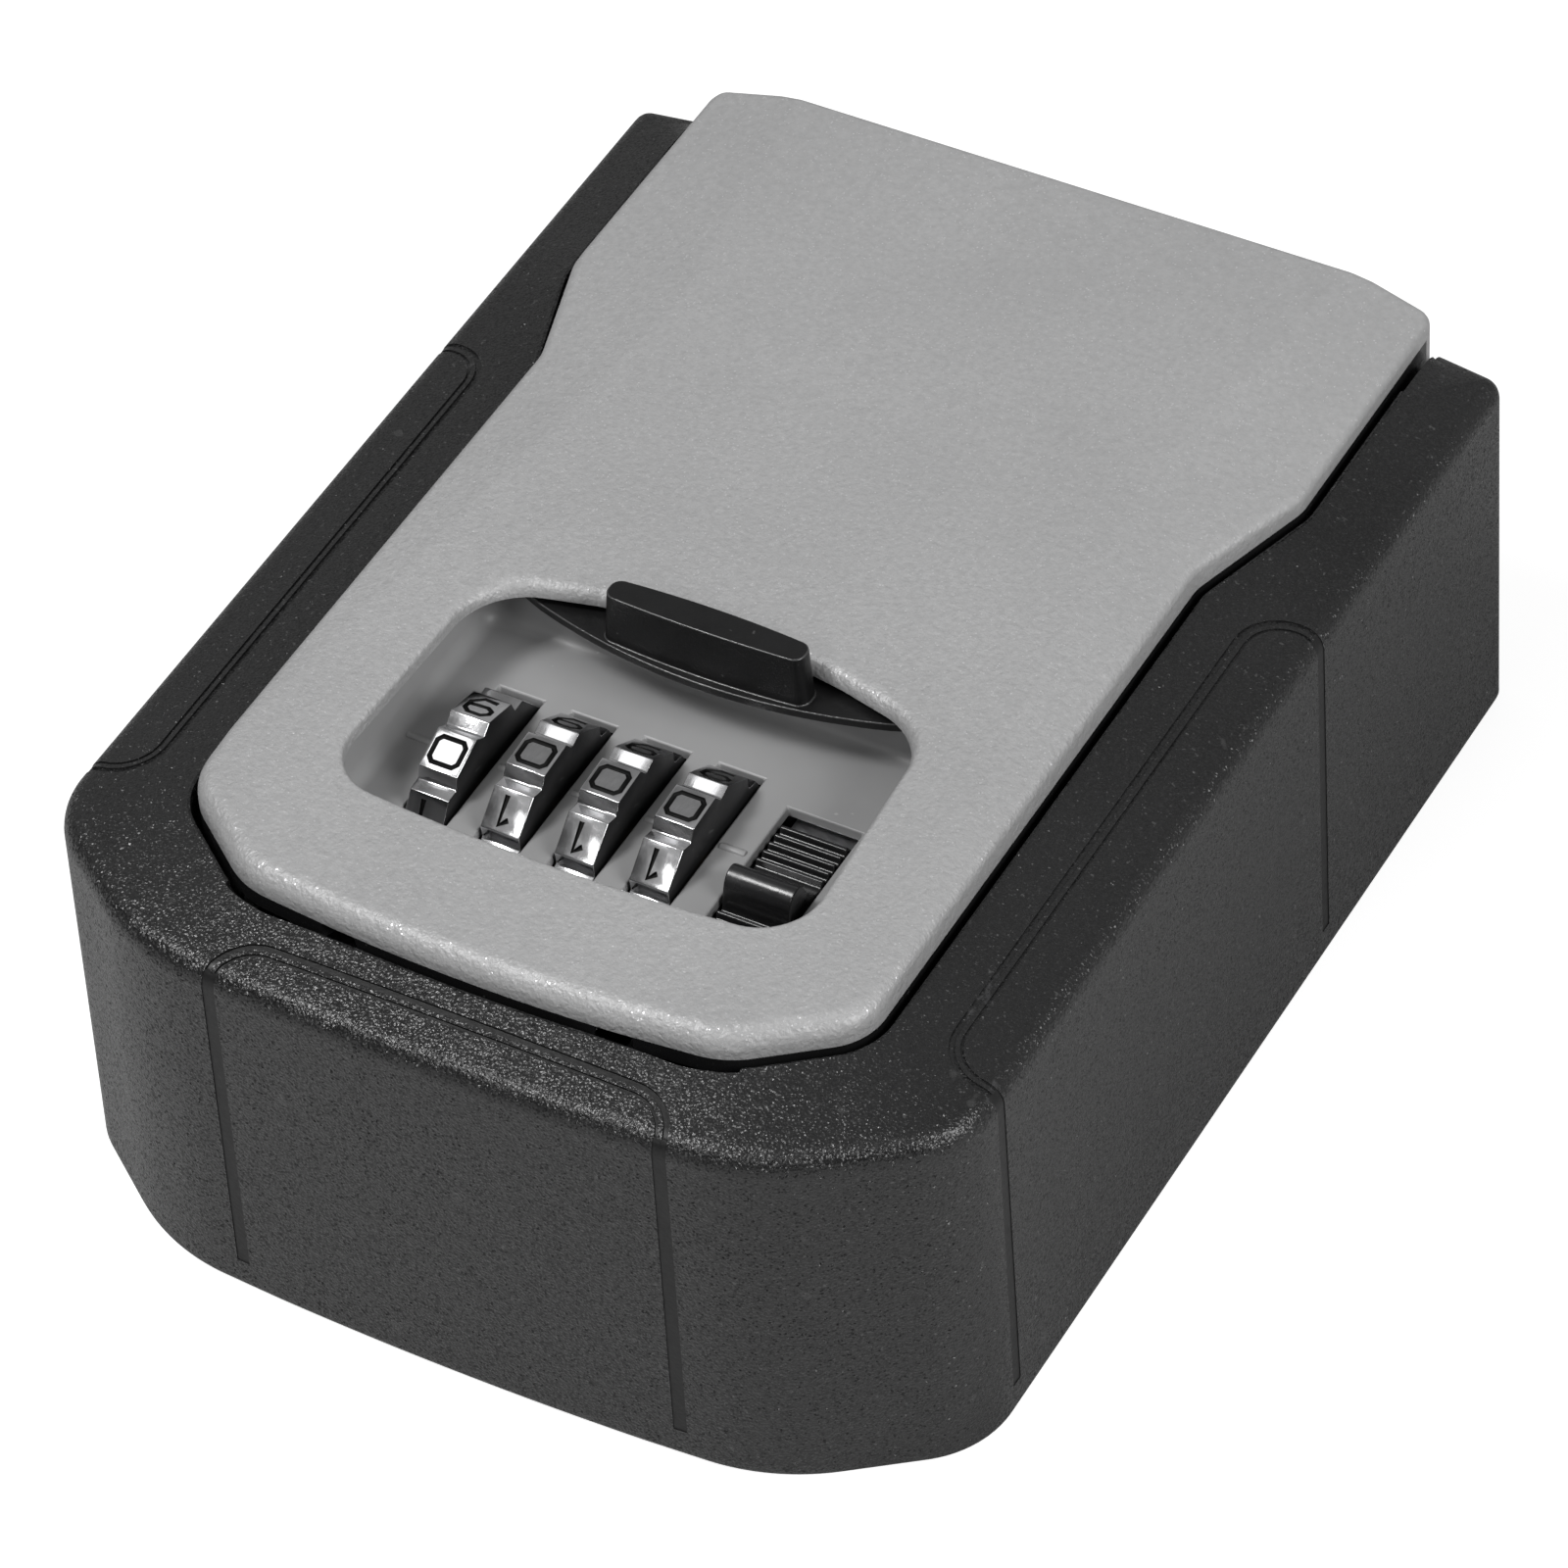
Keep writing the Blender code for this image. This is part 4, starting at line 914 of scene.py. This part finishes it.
# rim of one digit's sector: degrees from its middle, radius
SECTOR = ((-FACE_HALF, DIAL_R), (FACE_HALF, DIAL_R), (17.4, DIAL_R - 0.82), (18.6, DIAL_R - 0.82))
DIAL_TURNS = (21.5, 4.8, 4.8, 4.8)  # degrees


def digit_paths():
    height = DIAL_R * math.cos(math.radians(FACE_HALF)) + 0.02
    right = np.array([-1.0, 0, 0])
    paths = []
    for k, strokes in enumerate(DIGITS):
        a = math.radians(36.0 * k)
        out = np.array([0, -math.sin(a), math.cos(a)])
        up = -np.array([0, math.cos(a), math.sin(a)])
        for points, closed in strokes:
            paths.append(([tuple(out * height + right * (x * DIGIT_HALF_W)
                                 + up * (y * DIGIT_HALF_H)) for x, y in points], closed))
    return paths


def dial_mesh(name):
    """Ten-sided dial round the x axis with sunk digits."""
    section = []
    for k in range(10):
        for turn, r in SECTOR:
            a = math.radians(36.0 * k + turn)
            section.append((-r * math.sin(a), r * math.cos(a)))
    half = DIAL_WIDTH / 2
    rows = [[(x, y, z) for y, z in section] for x in (-half, half)]
    dial = finish_mesh(name, loft_bm(rows), "dial_chrome")
    boolean(dial, rod_bm("x", (0, 0), 3.05, -5, 5, 40))
    bevel(dial, width=0.15, segments=3, angle=12, sharp=60, weighted=False)
    boolean(dial, tube_bm(digit_paths(), STROKE_R), material="digit_fill", self_hit=True)
    dial.data.materials.append(MATERIALS["wheel_side"])
    for face in dial.data.polygons:
        if abs(face.normal.x) > 0.93 and face.material_index == 0:
            face.material_index = 2
    smooth(dial, 45)
    return dial


def make_dials():
    dials = [dial_mesh("number_dial_1")]
    for i in range(1, 4):
        dial = bpy.data.objects.new(f"number_dial_{i + 1}", dials[0].data)
        COLLECTION.objects.link(dial)
        dials.append(dial)
    for dial, x, turn in zip(dials, DIAL_XS, DIAL_TURNS):
        place = Matrix.Translation((x * MM, DIAL_Y * MM, DIAL_Z * MM))
        dial.matrix_world = place @ Matrix.Rotation(math.radians(turn), 4, "X")
    bpy.context.view_layer.update()
    for i, dial in enumerate(dials):
        piece(dial, f"dial_{i + 1}", "dial_chrome", f"dial_wheel_{i + 1}")


make_dials()

# ------------------------------------------------------------------ shutter
SHUT_LOW_Z, SHUT_TOP_Z, TAB_TOP_Z = 41.3, 42.2, 47.4
SHUT_X, SHUT_SIDE_Y, SHUT_TOP_Y = 24.4, -6.5, 24.0
SHUT_LOW_Y, SHUT_LOW_HALF, SHUT_BOW = -12.1, 17.5, 2.6
TAB_SHIFT, TAB_R = -0.2, 1.05


def tab_ring(half, upper_mid, upper_end, lower_mid, lower_end):
    """Tab outline: half length, then y of its upper and lower edges at the middle and ends."""
    ts = np.concatenate([[-1.0], np.linspace(-0.84, 0.84, 23), [1.0]])
    lower = [(half * t, lower_mid + (lower_end - lower_mid) * t * t) for t in ts]
    upper = [(half * t, upper_mid + (upper_end - upper_mid) * t * t) for t in ts[::-1]]
    body = fillet(upper[-1], lower[0], lower[1], TAB_R, 5) + lower[1:-1]
    body += fillet(lower[-2], lower[-1], upper[0], TAB_R, 5)
    body += fillet(lower[-1], upper[0], upper[1], TAB_R, 5) + upper[1:-1]
    body += fillet(upper[-2], upper[-1], lower[0], TAB_R, 5)
    return [(float(x) + TAB_SHIFT, float(y)) for x, y in body]


def make_shutter():
    outline = [(float(x), float(SHUT_LOW_Y + SHUT_BOW * (x / 17.0) ** 2))
               for x in np.linspace(-SHUT_LOW_HALF, SHUT_LOW_HALF, 29)]
    outline += [(SHUT_X, SHUT_SIDE_Y), (SHUT_X, SHUT_TOP_Y),
                (-SHUT_X, SHUT_TOP_Y), (-SHUT_X, SHUT_SIDE_Y)]
    plate = loft_bm([at(outline, SHUT_LOW_Z), at(outline, SHUT_TOP_Z)])
    shutter = finish_mesh("shutter_plate", plate, "shutter_black")
    tab = loft_bm([at(tab_ring(10.25, -7.75, -8.3, -11.3, -10.75), SHUT_TOP_Z - 0.4),
                   at(tab_ring(9.85, -7.75, -8.2, -10.85, -10.55), TAB_TOP_Z)])
    boolean(shutter, tab, operation="UNION")
    # the new bevel faces take the lighter edge material, a painted highlight
    shutter.data.materials.append(MATERIALS["slide_edge_highlight"])
    bevel(shutter, width=0.22, segments=3, angle=40, sharp=50, material=1)
    piece(shutter, "shutter", "black_shell", "shutter")


make_shutter()

# ------------------------------------------------------------------ release lever
RIB_PITCH = 1.08
# side profiles, y and z
LEVER_START = [(-18.4, 35.5), (-18.7, 35.45)]
LEVER_GRIP = [(-24.7, 35.6), (-25.6, 36.1), (-26.2, 36.9), (-26.6, 38.0), (-26.9, 38.6),
              (-27.3, 38.95), (-27.8, 39.1), (-28.3, 39.02), (-28.8, 38.7), (-29.15, 38.2),
              (-29.35, 37.6), (-29.5, 36.6), (-29.7, 35.7), (-29.95, 35.45)]
LEVER_BASE = [(-32.4, 34.35), (-18.4, 34.35)]


def ribs(first, count, gap):
    """Ribs in the profile; gap is from a rib's middle to the dip after it."""
    out = []
    for y in (first - RIB_PITCH * k for k in range(count)):
        out += [(y + 0.30, 35.6), (y + 0.2, 35.98), (y, 36.12), (y - 0.2, 35.98),
                (y - 0.30, 35.6), (y - gap, 35.42)]
    return out


def make_lever():
    profile = LEVER_START + ribs(-19.1, 5, 0.55) + LEVER_GRIP + ribs(-30.5, 2, 0.5) + LEVER_BASE
    rows = [[(LEVER_X + side * LEVER_WIDTH / 2, y, z) for y, z in profile] for side in (-1, 1)]
    lever = finish_mesh("thumb_lever", loft_bm(rows), "black_slide")
    bevel(lever, width=0.14, segments=2, angle=60, sharp=60)
    piece(lever, "latch", "black_slide", "release_lever")


make_lever()


# ------------------------------------------------------------------ CAD nodes that stay visible
def dress_cad_nodes():
    slots = {part["node"]: part["material_slot"] for part in frame["record"]["subparts"]}
    for name, ob in frame["nodes"].items():
        if ob.hide_render:
            continue
        slot = "lever_plastic" if name == "code_lever" else slots[name]
        ob.data.materials.clear()
        ob.data.materials.append(MATERIALS[slot])
        ob.modifiers.new("weld", "WELD").merge_threshold = 0.000001
        angle_bevel(ob, width=0.00012, segments=2, angle=40)


dress_cad_nodes()


# ------------------------------------------------------------------ floor, light, camera (metres)
def make_floor():
    """Floor that darkens towards +Y and glows to the camera only."""
    bpy.ops.mesh.primitive_plane_add(size=8.0, location=(0, 0, -0.0002))
    floor = bpy.context.object
    floor.name = "floor"
    m = Material("floor_mat")
    shade = m.remap(m.split(m.coords["Object"])["Y"], span=(-0.05, 0.07))
    m.put("Base Color", m.mix(shade, low=(0.63, 0.63, 0.63), high=(0.4, 0.4, 0.4)))
    m.put("Roughness", 0.9)
    m.put("Specular IOR Level", 0.1)
    m.put("Emission Color", (1, 1, 1, 1))
    seen = m.node("ShaderNodeLightPath").outputs["Is Camera Ray"]
    m.put("Emission Strength", m.math("MULTIPLY", seen, 0.75))
    floor.data.materials.append(MATERIALS["floor_mat"])


# sky brightness by height as (position, grey), the two ends first
SKY_LOW_Y = ((0.0, 0.04), (1.0, 0.8), (0.4, 0.05), (0.6, 0.25), (0.74, 0.75))
SKY_HIGH_Y = ((0.0, 0.5), (1.0, 1.0), (0.3, 0.9), (0.56, 0.9), (0.66, 0.45), (0.76, 0.4),
              (0.84, 0.75))


def make_world():
    """Sky with one ramp on the -Y side and another on the +Y side."""
    world = bpy.data.worlds.new("studio")
    bpy.context.scene.world = world
    world.use_nodes = True
    sky = Nodes(world.node_tree)
    place = sky.split(sky.coords["Generated"])

    def ramp(stops):
        node = sky.node("ShaderNodeValToRGB", {"Fac": place["Z"]})
        elements = node.color_ramp.elements
        for k, (position, grey) in enumerate(stops):
            element = elements[k] if k < 2 else elements.new(position)
            element.position = position
            element.color = (grey, grey, grey, 1)
        return node.outputs["Color"]

    side = sky.remap(place["Y"], span=(-0.25, 0.25))
    background = world.node_tree.nodes["Background"]
    sky.feed(background.inputs["Color"], sky.mix(side, ramp(SKY_LOW_Y), ramp(SKY_HIGH_Y)))
    background.inputs["Strength"].default_value = 0.42


def area(name, location, size, energy):
    """Square light aimed at the middle of the safe."""
    light = bpy.data.lights.new(name, "AREA")
    light.shape = "RECTANGLE"
    light.size = light.size_y = size
    light.energy = energy
    ob = bpy.data.objects.new(name, light)
    COLLECTION.objects.link(ob)
    ob.location = location
    ob.rotation_mode = "QUATERNION"
    aim = Vector((0, 0, 0.03)) - Vector(location)
    ob.rotation_quaternion = aim.to_track_quat("-Z", "Y")


def make_camera():
    camera = bpy.data.cameras.new("camera")
    camera.sensor_width = 36.0
    camera.lens = 184.87
    camera.shift_x, camera.shift_y = -0.01249375, -0.0211125
    camera.clip_start, camera.clip_end = 0.01, 20
    ob = bpy.data.objects.new("camera", camera)
    COLLECTION.objects.link(ob)
    # axes of the view
    right = Vector((0.876886, 0.478322, -0.047732))
    down = Vector((0.305648, -0.631446, -0.712640))
    forward = Vector((-0.371012, 0.610315, -0.699904))
    ob.rotation_mode = "QUATERNION"
    ob.rotation_quaternion = Matrix((right, -down, -forward)).transposed().to_quaternion()
    ob.location = (0.270848, -0.440577, 0.529734)
    bpy.context.scene.camera = ob


make_floor()
make_world()
area("key", location=(-0.43, -0.37, 0.97), size=0.27, energy=5.95)
area("right", location=(1.03, -0.2, 0.7), size=0.6, energy=9.4)
area("card", location=(-0.371, -0.085, 0.96), size=0.34, energy=0.45)
area("front", location=(-0.1, -0.95, 0.8), size=0.3, energy=1.8)
make_camera()
bpy.context.scene.view_settings.view_transform = "Standard"
bpy.context.scene.view_settings.look = "None"

bpy.context.view_layer.update()
